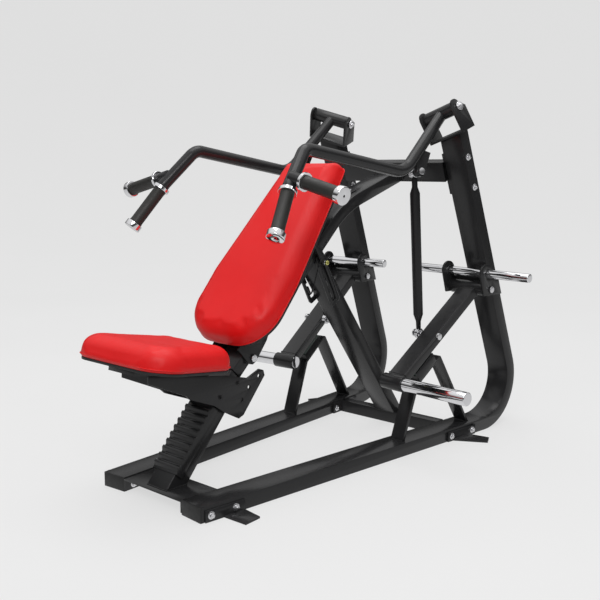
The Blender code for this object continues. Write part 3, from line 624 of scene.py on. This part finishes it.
def adjuster_plate(side, name):
    """A slotted plate on the centre post, with notches for the back's strut."""
    start, end = Vector(STRUT_FOOT), Vector(SLOT_END)
    along = (end - start).normalized()
    across = Vector((-along.y, along.x))
    if across.x < 0:
        across = -across

    def at(s, t):
        return tuple(start + along * s + across * t)
    plate = [at(-30, -20), at(-36, -8), at(-36, 18), at(-26, 26), at(176, 26), at(186, 16),
             at(186, -24), at(176, -30), at(20, -30)]
    slot = [at(-9, -6), at(-9, 6), at(-6, 9), at(162, 9), at(168, 4), at(168, -16), at(152, -18),
            at(152, -9), at(115, -9), at(111, -18), at(99, -18), at(99, -9), at(64, -9),
            at(60, -18), at(48, -18), at(48, -9), at(-6, -9)]
    low, high = (50.3, 58.3) if side == LEFT else (-58.3, -50.3)
    return put(prism(plate, low, high, MIDDLE, [slot]), name)


# ---- seat and back ----


def seat_carriage():
    """Two side plates astride the post, a support under the pad, a latch bar and a guide roller."""
    side_plate = [(-49, 443), (-50, 418.5), (103, 350), (120, 335), (222, 295), (271, 261),
                  (333, 228), (355, 236), (460, 359), (454, 378.5), (435, 385.5), (378, 363),
                  (284, 387)]
    holes = [circle(c, 7) for c in ((432, 361.5), (383.5, 330), (347.5, 292.5))]
    obj = twin(side_plate, 62, 70, holes)
    c, s = math.cos(SEAT_TILT), math.sin(SEAT_TILT)

    def under_pad(along, down):
        return 206 - along * c - down * s, 425 + along * s - down * c
    support = [under_pad(0, 0.3), under_pad(309, 0.3), under_pad(309, 20), under_pad(252, 24),
               under_pad(0, 24)]
    add(obj, prism(support, -66, 66, MIDDLE), cylinder((-66, 217, 316), (66, 217, 316), 7))
    add(obj, cylinder((-66, 349, 292), (66, 349, 292), 12))
    return put(obj, "seat_carriage")


def inset_corners(corners, distance):
    """A closed polygon's corners after each of its sides has moved inwards by the distance."""
    points = [Vector(c) for c in corners]
    count = len(points)
    lines = []
    for i, start in enumerate(points):
        along = (points[(i + 1) % count] - start).normalized()
        lines.append((start + Vector((-along.y, along.x)) * distance, along))
    moved = []
    for i in range(count):
        (a, u), (b, v) = lines[i - 1], lines[i]
        t = ((b - a).x * v.y - (b - a).y * v.x) / (u.x * v.y - u.y * v.x)
        moved.append(a + u * t)
    return moved


def pad_ring(corners, radii, distance, steps):
    """The pad's outline moved inwards, with as many points at every distance."""
    moved = inset_corners(corners, distance)
    start = (moved[-1] + moved[0]) / 2
    path = filleted([start, *moved, start], [max(r - distance, 4) for r in radii], steps)
    return path[:-1]


def pad(corners, radii, depth, rear_round, front_round, plane, steps=(14, 6, 16)):
    """A closed cushion: flat behind, with a small rounding there and a large one in front."""
    corner_steps, rear_steps, front_steps = steps
    low, high = depth
    levels = [(rear_round * (1 - math.sin(a)), low + rear_round * (1 - math.cos(a)))
              for a in (math.pi / 2 * i / rear_steps for i in range(rear_steps + 1))]
    levels += [(front_round * (1 - math.cos(a)), high - front_round * (1 - math.sin(a)))
               for a in (math.pi / 2 * i / front_steps for i in range(front_steps + 1))]
    origin, u, v, w = plane
    mesh = bmesh.new()
    rings = []
    for distance, level in levels:
        ring = pad_ring(corners, radii, distance, corner_steps)
        place = [(origin + u * p.x + v * p.y + w * level) * MM for p in ring]
        rings.append([mesh.verts.new(p) for p in place])
    for lower, upper in zip(rings, rings[1:]):
        for i in range(len(lower)):
            j = (i + 1) % len(lower)
            mesh.faces.new((lower[i], lower[j], upper[j], upper[i]))
    mesh.faces.new(list(reversed(rings[0])))
    mesh.faces.new(rings[-1])
    bmesh.ops.recalc_face_normals(mesh, faces=mesh.faces)
    data = bpy.data.meshes.new("pad")
    mesh.to_mesh(data)
    mesh.free()
    return linked("pad", data)


def back_point(along, behind):
    """(y, z) of a point along the back pad's rear plane and behind it."""
    c, s = math.cos(BACK_ANGLE), math.sin(BACK_ANGLE)
    return 433 + along * c + behind * s, 582.3 + along * s - behind * c


def back_bracket():
    """A channel behind the pad: its ribs carry the lower pivot and the strut's pivot."""
    rib = [(-150, GAP), (410, GAP), (410, 26), (398, 30), (60, 30), (-20, 90), (-50, 98), (-134, 101),
           (-152, 94), (-160, 78)]
    rib = [back_point(*p) for p in rib]
    holes = [circle(BACK_PIVOT, 8.4), circle(STRUT_TOP, 6.4)]
    obj = twin(rib, 60, 66, holes)
    web = [back_point(*p) for p in ((-100, GAP + 0.1), (400, GAP + 0.1), (400, 5), (-100, 5))]
    add(obj, prism(web, -63, 63, MIDDLE))
    return put(obj, "back_pad_bracket")


def back_strut():
    """Two bars hinged on the bracket, whose lower pins sit in the adjuster plates' slots."""
    top, end = Vector(STRUT_TOP), Vector(STRUT_FOOT)
    along = (end - top).normalized()
    angle = math.degrees(math.atan2(along.y, along.x))
    bar = [*arc(top, 12, angle + 90, angle + 270, 6), *arc(end, 12, angle - 90, angle + 90, 6)]
    obj = twin(bar, 66.8, 72.8)
    add(obj, cylinder((-78, *top), (78, *top), 6))
    for side in (LEFT, RIGHT):
        pin = cylinder((side * 51.5, *end), (side * 70, *end), 5)
        add(obj, pin)
    return put(obj, "back_strut")


def adjuster_knob():
    """A hollow brass knob on a zinc base."""
    place = (73.1, *STRUT_FOOT)
    base = turned([(0, 5), (7.5, 5), (8.5, 4), (8.5, 0.5), (0, 0.5)], place, X_AXIS)
    settle(base, "adjuster_knob_base", "zinc", BODY_OF["adjuster_knob"], 0)
    profile = [(3.6, 15), (7, 15), (9, 13), (9, 6.5), (7.5, 4.6), (0, 4.6), (0, 7), (3.6, 7), (3.6, 15)]
    return put(turned(profile, place, X_AXIS), "adjuster_knob", 0)


def wire_handle():
    path = [(77.2, 752, 750), (77.2, 711, 648), (77.2, 697, 620), (77.2, 655, 669.6)]
    return put(tube(filleted(path, [30, 7], 12), 2.8, 5), "wire_handle")


# ---- moving linkage ----


def press_arm(side, name):
    """The bent arm tube with its pivot housing, link lugs and grip collars, in one weldment."""
    housing = [bracket_point(side, a, AXLE_FRONT, AXLE_UP) for a in (-80, 80)]
    centre = (housing[0] + housing[1]) / 2
    bends = [mirrored(side, p) for p in ARM_BENDS]
    tip = mirrored(side, GRIP_A_END)
    path = filleted([centre, *bends, tip], ARM_RADII, steps=16)
    handle = (tip - bends[2]).normalized()
    obj = tube(path[:-1] + [bends[2] + handle * 20], ARM_R, 9)
    add(obj, cylinder(bends[2] + handle * 12, tip, ARM_R - 4))
    grip_start, grip_end = mirrored(side, GRIP_B_START), mirrored(side, GRIP_B_END)
    grip = (grip_end - grip_start).normalized()
    add(obj, cylinder(grip_start, grip_start + grip * 56, ARM_R))
    add(obj, cylinder(grip_start + grip * 40, grip_end, ARM_R - 4))
    for tag, place, way in (("side", grip_start + grip * 52, grip),
                            ("lower", bends[2] + handle * 16, handle)):
        ring = turned([(22.1, 12), (29.5, 12), (30.5, 11), (30.5, 1), (29.5, 0), (22.1, 0), (22.1, 12)],
                      place, way)
        settle(ring, name.replace("press_arm", tag + "_collar"), "chrome", BODY_OF[name], 0)
    add(obj, cylinder(*housing, 26))
    hinge = mirrored(side, ROD_HINGE).normalized()
    eye = mirrored(side, ROD_TOP)
    up = (bends[0] * 0.5 + centre * 0.5 - eye)
    up = (up - hinge * up.dot(hinge)).normalized()
    across = hinge.cross(up)
    lug = [(-19, 0), *arc((0, 0), 19, 180, 360, 8)[1:], (34, 84), (-34, 84)]
    add(obj, prism(lug, 24, 38, (eye, across, up, hinge)))
    add(obj, cylinder(eye + hinge * 9.6, eye + hinge * 30, 14))
    cut(obj, cylinder(eye - hinge * 40, eye + hinge * 40, 8.4), axle_bore(side))
    inner_path = [path[0], *path[1:-1], tip + handle * 20]
    inner_path[0] = centre + (path[1] - centre).normalized() * 12
    cut(obj, tube(inner_path, ARM_R - 7.5, 4))
    return put(obj, name)


def grip_sleeve(side, name, start, end):
    """A smooth rubber sleeve, a little thicker at its ends."""
    start, end = mirrored(side, start), mirrored(side, end)
    long, bore = (end - start).length, ARM_R - 3.6
    profile = [(bore, long), (22.6, long), (23.2, long - 0.8), (23.2, long - 5), (22.4, long - 9),
               (22.4, 9), (23.2, 5), (23.2, 0.8), (22.6, 0), (bore, 0), (bore, long)]
    return put(turned(profile, start, end - start), name, 0)


def grip_cap(side, name, start, end):
    """A flanged chrome end with a hole in its middle."""
    start, end = mirrored(side, start), mirrored(side, end)
    length = (end - start).length
    profile = [(4, length), (5, length + 0.4), (24, length + 0.4), (25, length), (28, length),
               (29.2, length - 0.8), (29.5, length - 2), (29.5, 1), (28.7, 0), (4, 0), (4, length)]
    return put(turned(profile, start, end - start), name)


def grips(side, prefix):
    a0, a1 = Vector(ARM_BENDS[2]), Vector(GRIP_A_END)
    way = (a1 - a0).normalized()
    grip_sleeve(side, prefix + "lower_grip", a0 + way * 28.4, a1 - way * 0.5)
    grip_cap(side, prefix + "lower_grip_cap", a1 + way * 0.3, a1 + way * 22)
    b0, b1 = Vector(GRIP_B_START), Vector(GRIP_B_END)
    way = (b1 - b0).normalized()
    grip_sleeve(side, prefix + "side_grip", b0 + way * 64.4, b1 - way * 0.5)
    grip_cap(side, prefix + "side_grip_cap", b1 + way * 0.3, b1 + way * 22)


def link_rod(side, name):
    """A thick rod with necked ends and an eye on each."""
    top = mirrored(side, ROD_TOP)
    low = on_side(side, (ROD_FOOT_X, ROD_FOOT_Y, ROD_FOOT_Z))
    axis = top - low
    length = axis.length
    profile = [(7, length - 12), (7, length - 17), (11, length - 18), (11, length - 52),
               (19, length - 76), (19, 78), (10, 50), (9, 15)]
    profile = [(0, profile[0][1]), *profile, (0, profile[-1][1])]
    obj = turned(profile, low, axis)
    hinge = mirrored(side, ROD_HINGE).normalized()
    out = side_axes(side)[0]
    for place, way, radius, bore, half, tag in ((top, hinge, 17, 8.4, 9, "upper"),
                                                (low, out, 20, 14, 8, "lower")):
        cut(obj, cylinder(place - way * 20, place + way * 20, radius - 2))
        eye = [(bore, half), (radius - 1, half), (radius, half - 1), (radius, 1 - half),
               (radius - 1, -half), (bore, -half), (bore, half)]
        settle(turned(eye, place, way), name + "_eye_" + tag, "zinc", BODY_OF[name], 0)
    return put(obj, name)


def link_bolts(side, prefix):
    hinge = mirrored(side, ROD_HINGE).normalized()
    profile = [(0, 47), (13, 47), (13, 38.3), (8, 38.3), (8, -13.5), (13, -13.5), (13, -21), (0, -21)]
    upper = turned(profile, mirrored(side, ROD_TOP), hinge)
    put(upper, prefix + "link_upper_bolt")
    profile = [(0, 50), (13, 50), (13, 40.3), (6.5, 40.3), (6.5, -73), (15, -73), (15, -78), (0, -78)]
    place, out = on_side(side, (0, ROD_FOOT_Y, ROD_FOOT_Z)), side_axes(side)[0]
    put(turned(profile, place, out), prefix + "link_lower_bolt")


def weight_lever(side, name):
    """The lever tube with its pivot housing and the hub that holds the plate horn."""
    obj = rounded(lever_box(side, (0, LEVER_LENGTH - 8), (-20, 20), (-40, 40)), 4, 1, 60)
    add(obj, crosswise(side, PIVOT_Y, PIVOT_Z, 28, 88))
    hub = lever_point(LEVER_LENGTH, 0)
    add(obj, crosswise(side, *hub, 30, 49))
    cut(obj, lever_box(side, (4, LEVER_LENGTH - 4), (-17, 17), (-37, 37)))
    cut(obj, crosswise(side, PIVOT_Y, PIVOT_Z, AXLE_BORE), crosswise(side, *hub, 25.5))
    cut(obj, crosswise(side, ROD_FOOT_Y, ROD_FOOT_Z, 6.9))
    return put(obj, name)


def plate_horn(side, name):
    """The chrome bar that takes the weight plates, through the lever's hub."""
    place, out = on_side(side, (0, *lever_point(LEVER_LENGTH, 0))), side_axes(side)[0]
    obj = turned([(0, HORN_END), (23, HORN_END), (25, HORN_END - 2), (25, -49), (24, -50), (0, -50)],
                 place, out)
    return put(obj, name)


# ---- materials ----


def new_material(slot, color, metallic=0.0, coat=0.0):
    material = bpy.data.materials.new(slot)
    material.use_nodes = True
    tree = material.node_tree
    shader = tree.nodes["Principled BSDF"]
    shader.inputs["Base Color"].default_value = (*color, 1)
    shader.inputs["Metallic"].default_value = metallic
    shader.inputs["Coat Weight"].default_value = coat
    shader.inputs["Coat Roughness"].default_value = 0.08
    MATERIALS[slot] = material
    return tree, shader


def texture(tree, kind, scale, stretch=(1, 1, 1), detail=3.0):
    """A procedural texture in the object's own space."""
    where = tree.nodes.new("ShaderNodeTexCoord")
    mapping = tree.nodes.new("ShaderNodeMapping")
    mapping.inputs["Scale"].default_value = stretch
    node = tree.nodes.new("ShaderNodeTexNoise" if kind == "noise" else "ShaderNodeTexVoronoi")
    node.inputs["Scale"].default_value = scale
    if kind == "noise":
        node.inputs["Detail"].default_value = detail
    tree.links.new(where.outputs["Object"], mapping.inputs["Vector"])
    tree.links.new(mapping.outputs["Vector"], node.inputs["Vector"])
    return node.outputs["Fac" if kind == "noise" else "Distance"]


def ranged(tree, value, low, high, start=0.3, end=0.7):
    node = tree.nodes.new("ShaderNodeMapRange")
    for name, number in (("From Min", start), ("From Max", end), ("To Min", low), ("To Max", high)):
        node.inputs[name].default_value = number
    tree.links.new(value, node.inputs["Value"])
    return node.outputs["Result"]


def roughened(tree, shader, scale, low, high):
    tree.links.new(ranged(tree, texture(tree, "noise", scale), low, high), shader.inputs["Roughness"])


def tinted(tree, shader, factor, dark, light):
    """Base colour between two tones."""
    mix = tree.nodes.new("ShaderNodeMix")
    mix.data_type = "RGBA"
    mix.inputs[6].default_value = (*dark, 1)
    mix.inputs[7].default_value = (*light, 1)
    tree.links.new(factor, mix.inputs[0])
    tree.links.new(mix.outputs[2], shader.inputs["Base Color"])
    return mix


def bumped(tree, shader, heights):
    """Bumps, one after another, of (height, strength, distance in metres)."""
    before = None
    for height, strength, distance in heights:
        bump = tree.nodes.new("ShaderNodeBump")
        bump.inputs["Strength"].default_value = strength
        bump.inputs["Distance"].default_value = distance
        tree.links.new(height, bump.inputs["Height"])
        if before:
            tree.links.new(before, bump.inputs["Normal"])
        before = bump.outputs["Normal"]
    tree.links.new(before, shader.inputs["Normal"])


def painted(slot, color, low, high, coat):
    """Gloss powder coat with a fine orange peel."""
    tree, shader = new_material(slot, color, 0.0, coat)
    dark = tuple(c * 0.9 for c in color)
    tinted(tree, shader, ranged(tree, texture(tree, "noise", 160), 0, 1), dark, color)
    roughened(tree, shader, 34, low, high)
    shader.inputs["Specular IOR Level"].default_value = 0.32
    bumped(tree, shader, [(texture(tree, "noise", 420, detail=1), 0.07, 0.0003)])


def plated(slot, color, low, high, scale, strength):
    """Plated metal: a barely waved surface with a clouded polish."""
    tree, shader = new_material(slot, color, 1.0)
    lines = texture(tree, "noise", scale, detail=2)
    roughened(tree, shader, 24, low, high)
    tinted(tree, shader, ranged(tree, lines, 0, 1), tuple(c * 0.95 for c in color), color)
    bumped(tree, shader, [(lines, strength, 0.0002)])


def rubbery(slot, dark, light, cells, depth):
    tree, shader = new_material(slot, light)
    tinted(tree, shader, ranged(tree, texture(tree, "noise", 30), 0, 1), dark, light)
    roughened(tree, shader, 60, 0.42, 0.6)
    bumped(tree, shader, [(texture(tree, "voronoi", cells), 0.12, depth)])


def vinyl():
    """Upholstery vinyl: a pebbled grain, faint creasing and a satin finish."""
    tree, shader = new_material("red_vinyl", (0.72, 0.008, 0.009), 0.0, 0.06)
    shader.inputs["Coat Roughness"].default_value = 0.35
    tinted(tree, shader, ranged(tree, texture(tree, "noise", 7), 0, 1), (0.73, 0.006, 0.007),
           (0.77, 0.008, 0.009))
    roughened(tree, shader, 18, 0.4, 0.5)
    shader.inputs["Specular IOR Level"].default_value = 0.3
    bumped(tree, shader, [(texture(tree, "noise", 12, detail=4), 0.06, 0.003),
                          (texture(tree, "voronoi", 620), 0.12, 0.0004)])


def make_materials():
    painted("frame_paint", (0.026, 0.026, 0.027), 0.2, 0.25, 0.0)
    painted("black_paint", (0.011, 0.011, 0.012), 0.32, 0.4, 0.1)
    plated("chrome", (0.86, 0.86, 0.88), 0.04, 0.07, 60, 0.02)
    plated("zinc", (0.82, 0.82, 0.84), 0.2, 0.3, 400, 0.05)
    plated("brass", (0.66, 0.64, 0.22), 0.2, 0.3, 200, 0.05)
    rubbery("rubber", (0.016, 0.0155, 0.014), (0.02, 0.0195, 0.017), 520, 0.0004)
    rubbery("bumper_rubber", (0.008, 0.024, 0.017), (0.014, 0.038, 0.027), 300, 0.0004)
    rubbery("black_plastic", (0.012, 0.012, 0.012), (0.02, 0.02, 0.02), 800, 0.0003)
    vinyl()


# ---- small hardware ----


def joined(objects):
    """One object with all their meshes, each where it stands."""
    work = bmesh.new()
    for obj in objects:
        bake(obj)
        obj.data.transform(obj.matrix_world)
        work.from_mesh(obj.data)
        bpy.data.objects.remove(obj, do_unlink=True)
    mesh = bpy.data.meshes.new("joined")
    work.to_mesh(mesh)
    work.free()
    whole = linked("joined", mesh)
    return whole


def hex_bolt(place, axis, across=9.5, head=6.5, washer=13.0):
    """A hexagon head over a dished washer, standing on a face."""
    place, axis = Vector(place), Vector(axis).normalized()
    plate = turned([(0, 2.2), (washer - 1.5, 2.2), (washer, 1.2), (washer, 0.05), (0, 0.05)],
                   place, axis, 40)
    side = axis.orthogonal().normalized()
    corners = [(across * math.cos(a), across * math.sin(a))
               for a in (math.radians(60 * i + 17) for i in range(6))]
    nut = rounded(prism(corners, 2.0, 2.2 + head, (place, side, axis.cross(side), axis)), 1.1, 3, 40)
    tip = turned([(0, 4.6 + head), (3.6, 4.2 + head), (4.2, 3.4 + head), (4.2, 2 + head), (0, 2 + head)],
                 place, axis, 24)
    return [plate, nut, tip]


def frame_bolts(side, prefix):
    """The bolts that hold the cross members and feet to one side frame."""
    out = side_axes(side)[0]
    made = []
    for y, z, outer, inner in ((1300.6, 1123, 50, 58.3), (1347.9, 1007, 50, 58.3),
                               (1236.5, 21, 57, 58.3), (1368.7, 21, 57, 58.3),
                               (37, 21, 57, 56.5), (134, 21, 57, 56.5)):
        made += hex_bolt(on_side(side, (outer, y, z)), out)
        made += hex_bolt(on_side(side, (-inner, y, z)), -out)
    settle(joined(made), prefix + "frame_bolts", "zinc", "frame", 0)


def bead(points, name, body, radius=2.6, closed=False):
    """A weld bead: a thin run with overlapping ripples."""
    points = [Vector(p) for p in points]
    if closed:
        points.append(points[0])
    path = []
    for a, b in zip(points, points[1:]):
        count = max(2, round((b - a).length / 2.2))
        path += [a.lerp(b, i / count) for i in range(count)]
    path.append(points[-1])
    return settle(tube(path, radius, 2, ripple=0.22), name, "frame_paint", body, 0)


def beads(side, prefix):
    plane_up = 50.6
    for y, tag in ((965, "a"), (980, "b"), (1364, "c"), (1378, "d")):
        ends = [on_side(side, (x, y, plane_up)) for x in (-29, 29)]
        bead(ends, f"{prefix}stop_weld_{tag}", "frame", 2.2)
    for along, tag in ((28.5, "pivot"), (LEVER_LENGTH - 30.5, "hub")):
        corners = []
        for x, up in ((-39, -19), (39, -19), (39, 19), (-39, 19)):
            corners.append(on_side(side, (x, *lever_point(along, up))))
        bead(corners, f"{prefix}lever_weld_{tag}", prefix + "lever", 2.2, True)


def middle_beads():
    def loop(y0, y1, z):
        return [(-49, y0, z), (49, y0, z), (49, y1, z), (-49, y1, z)]
    bead(loop(1262, 1322.5, 50.8), "post_weld", "frame", 2.4, True)
    bead(loop(24.5, 111.5, 48), "seat_post_weld", "frame", 2.4, True)
    bead([(-49, 1296, 1031), (49, 1296, 1031), (49, 1278.5, 1076.5), (-49, 1278.5, 1076.5)],
         "spine_weld", "frame", 2.4, True)


# ---- upholstery ----


def inflated(obj, plane, board, cap):
    """Lets the cover swell as cloth over its filling, held flat against the board."""
    origin, normal = plane[0] * MM, plane[3]
    remesh = obj.modifiers.new("Remesh", "REMESH")
    remesh.mode = "VOXEL"
    remesh.voxel_size = VOXEL * MM
    bake(obj)
    rest = [v.co.copy() for v in obj.data.vertices]
    held = obj.vertex_groups.new(name="board")
    level = (board + 3) * MM
    held.add([v.index for v in obj.data.vertices if (v.co - origin).dot(normal) < level], 1, "ADD")
    cloth = obj.modifiers.new("Cloth", "CLOTH")
    for key, value in (("use_pressure", True), ("uniform_pressure_force", CLOTH_PRESSURE),
                       ("quality", 5), ("mass", 0.3), ("tension_stiffness", 20),
                       ("bending_stiffness", 2), ("vertex_group_mass", "board")):
        setattr(cloth.settings, key, value)
    cloth.settings.effector_weights.gravity = 0
    scene = bpy.context.scene
    for number in range(1, CLOTH_FRAMES + 1):
        scene.frame_set(number)
    bake(obj)
    scene.frame_set(1)
    obj.vertex_groups.clear()
    for vertex, start in zip(obj.data.vertices, rest):
        move = vertex.co - start
        if move.length > cap * MM:
            vertex.co = start + move.normalized() * cap * MM
    smoothing = obj.modifiers.new("Smooth", "SMOOTH")
    smoothing.factor = 0.5
    smoothing.iterations = 14
    rounding = obj.modifiers.new("Subdivision", "SUBSURF")
    rounding.levels = rounding.render_levels = 1
    bake(obj)
    return obj


def cushion(name, corners, radii, plane, depth, rounds, body, board=9.0, cap=5.0):
    """A bullnosed pad on its board, with a thin welt near the board."""
    origin, u, v, w = plane
    obj = pad(corners, radii, (board - 2, depth - 2.5), *rounds, plane)
    inflated(obj, plane, board, cap)
    put(obj, name, 0)
    base = pad_ring(corners, radii, 7, 14)
    settle(prism(base, 0.6, board, plane), name + "_board", "black_plastic", body, 1.5)
    welt = [origin + u * p.x + v * p.y + w * (board + 10) for p in pad_ring(corners, radii, 1.4, 24)]
    settle(tube(welt, WELT_R, 3, True), name + "_piping", "red_vinyl", body, 0)


def seat_pad():
    c, s = math.cos(SEAT_TILT), math.sin(SEAT_TILT)
    plane = (Vector((0, 206, 425)), X_AXIS, Vector((0, -c, s)), Vector((0, s, c)))
    corners = [(169.6, -22.1), (244.6, 354.7), (-244.6, 354.7), (-169.6, -22.1)]
    cushion("seat_pad", corners, [67.9, 90, 90, 67.9], plane, 83.5, (12, 44.6), "seat")


def back_pad():
    c, s = math.cos(BACK_ANGLE), math.sin(BACK_ANGLE)
    plane = (Vector((0, *back_point(0, 0))), X_AXIS, Vector((0, c, s)), Vector((0, -s, c)))
    right = [(193.5, -144.7), (193.7, 120), (129.7, 637.8)]
    corners = [*right, *((-x, y) for x, y in reversed(right))]
    cushion("back_pad", corners, [142.2, 200, 25, 25, 200, 142.2], plane, 83.9, (9, 42), "back")


# ---- the whole machine ----


def build():
    for side, prefix in ((LEFT, "left_"), (RIGHT, "right_")):
        side_frame(side, prefix + "side_frame")
        rail_cap(side, prefix + "rail_cap")
        foot(side, prefix + "front_foot", 15, 171, FRONT_TAB, 6)
        foot(side, prefix + "rear_foot", 1215, 1391, REAR_TAB, 8)
        upper_bracket(side, prefix + "upper_bracket")
        axis = side_vector(side, HOUSING_AXIS)
        pin = headed_pin(bracket_point(side, 0, AXLE_FRONT, AXLE_UP), axis, 10, 89.3, 17, 8)
        put(pin, prefix + "upper_axle", 1.6, 3)
        ends = []
        for way in (1, -1):
            face = bracket_point(side, way * 97.3, AXLE_FRONT, AXLE_UP)
            ends += hex_bolt(face, axis * way, 9, 5, 12)
        settle(joined(ends), prefix + "upper_axle_nuts", "zinc", "frame", 0)
        lower_bracket(side, prefix + "lower_bracket")
        pin = headed_pin(on_side(side, (0, PIVOT_Y, PIVOT_Z)), side_axes(side)[0], 10, 97.3, 13, 8)
        put(pin, prefix + "lower_axle", 1.6, 3)
        storage_peg(side, prefix + "storage_peg")
        stop_brace(side, prefix + "stop_brace")
        stop_bumper(side, prefix + "stop_bumper")
        press_arm(side, prefix + "press_arm")
        grips(side, prefix)
        link_rod(side, prefix + "link_rod")
        link_bolts(side, prefix)
        weight_lever(side, prefix + "weight_lever")
        plate_horn(side, prefix + "plate_horn")
        adjuster_plate(side, prefix + "adjuster_plate")
        frame_bolts(side, prefix)
        beads(side, prefix)
    front_cross_plate()
    rear_cross_member()
    upper_cross_member()
    seat_post()
    seat_ratchet()
    center_post()
    back_spine()
    seat_carriage()
    seat_pad()
    back_pad()
    back_bracket()
    pivot = headed_pin((0, *BACK_PIVOT), X_AXIS, 8, 66.4, 13, 8)
    put(pivot, "back_pivot_bolt", 1.6, 3)
    back_strut()
    adjuster_knob()
    wire_handle()
    middle_beads()
    small_parts()


def small_parts():
    """The carriage's screws, the pivot's nylon washers and the buffer on the spine."""
    made = []
    for side in (LEFT, RIGHT):
        for y, z in ((329, 355.5), (248, 319)):
            made += hex_bolt((side * 70, y, z), X_AXIS * side, 5.5, 3.5, 8)
    settle(joined(made), "carriage_screws", "black_paint", "seat", 0)
    washers = [turned([(8.6, 9.5), (19, 9.5), (20, 8.5), (20, 1), (19, 0.2), (8.6, 0.2), (8.6, 9.5)],
                      (side * 50, *BACK_PIVOT), X_AXIS * side) for side in (LEFT, RIGHT)]
    settle(joined(washers), "pivot_washers", "zinc", "frame", 0)
    lean = Vector((0, -0.32, 0.9474))
    foot_at = Vector((0, 1020, 937.6)) + lean * 50.3
    plate = rounded(prism([(-20, -27), (20, -27), (20, 27), (-20, 27)], 0, 4,
                          (foot_at, X_AXIS, lean.cross(X_AXIS), lean)), 3, 3, 40)
    settle(plate, "spine_buffer_plate", "black_paint", "frame", 0.6)
    disc = turned([(0, 12), (12, 12), (13.5, 10.5), (13.5, 4.1), (0, 4.1)], foot_at, lean)
    settle(disc, "spine_buffer", "zinc", "frame", 0)


# ---- floor, light and camera ----


def studio():
    """A pale bowl round the machine, and a sky that is dark only just above the horizon."""
    profile = [(0, 0), (BOWL_R, 0)]
    profile += [(BOWL_R + BOWL_BEND * math.sin(a), BOWL_BEND - BOWL_BEND * math.cos(a))
                for a in (math.radians(9 * i) for i in range(1, 11))]
    profile += [(BOWL_R + BOWL_BEND, 9)]
    bowl = turned([(x * 1000, z * 1000 - 1) for x, z in profile], (0, 0, 0), Z_AXIS, 96)
    bake(bowl)
    bowl.name = "floor"
    bowl.data.shade_smooth()
    bowl.visible_glossy = False
    bowl.visible_diffuse = False
    material = bpy.data.materials.new("floor")
    material.use_nodes = True
    tree = material.node_tree
    shader = tree.nodes["Principled BSDF"]
    tinted(tree, shader, ranged(tree, texture(tree, "noise", 0.8), 0, 1), (0.175, 0.175, 0.175),
           (0.185, 0.185, 0.185))
    roughened(tree, shader, 5, 0.8, 0.9)
    shader.inputs["Specular IOR Level"].default_value = 0.0
    shader.inputs["Emission Color"].default_value = (1, 1, 1, 1)
    shader.inputs["Emission Strength"].default_value = 0.64
    bowl.data.materials.clear()
    bowl.data.materials.append(material)

    world = bpy.data.worlds.new("studio")
    bpy.context.scene.world = world
    world.use_nodes = True
    tree = world.node_tree
    where = tree.nodes.new("ShaderNodeTexCoord")
    parts = tree.nodes.new("ShaderNodeSeparateXYZ")
    ramp = tree.nodes.new("ShaderNodeValToRGB")
    half = ranged(tree, parts.outputs["Z"], 0, 1, -1, 1)
    tree.links.new(where.outputs["Generated"], parts.inputs[0])
    tree.links.new(half, ramp.inputs[0])
    stops = ramp.color_ramp.elements
    stops[0].position, stops[0].color = 0.0, (0.8, 0.8, 0.8, 1)
    stops[1].position, stops[1].color = 1.0, (1, 1, 1, 1)
    for place, tone in ((0.47, 0.62), (0.51, 0.04), (0.62, 0.08), (0.78, 0.8)):
        stops.new(place).color = (tone, tone, tone, 1)
    tree.links.new(ramp.outputs["Color"], tree.nodes["Background"].inputs["Color"])
    tree.nodes["Background"].inputs["Strength"].default_value = 0.9

    def area(name, place, target, size, power):
        """A soft rectangular lamp."""
        data = bpy.data.lights.new(name, "AREA")
        data.shape = "RECTANGLE"
        data.size, data.size_y = size
        data.energy = power
        lamp = linked(name, data)
        lamp.location = place
        way = Vector(target) - Vector(place)
        lamp.rotation_euler = way.to_track_quat("-Z", "Y").to_euler()
    area("key", (2.6, -3.4, 3.6), (0, 0, 0.6), (2.4, 1.6), 70)
    area("top", (0, 0, 4.6), (0, 0, 0), (3.2, 3.2), 70)
    bpy.context.scene.view_settings.view_transform = "Standard"


def camera():
    data = bpy.data.cameras.new("camera")
    data.sensor_width = 36
    data.lens = 53.2
    obj = linked("camera", data)
    obj.location = (2.2208, -1.7128 - MIDDLE_Y * MM, 1.088)
    obj.rotation_euler = (math.radians(90 - 8.58), 0, math.radians(42.37))
    bpy.context.scene.camera = obj


make_materials()
build()
studio()
camera()
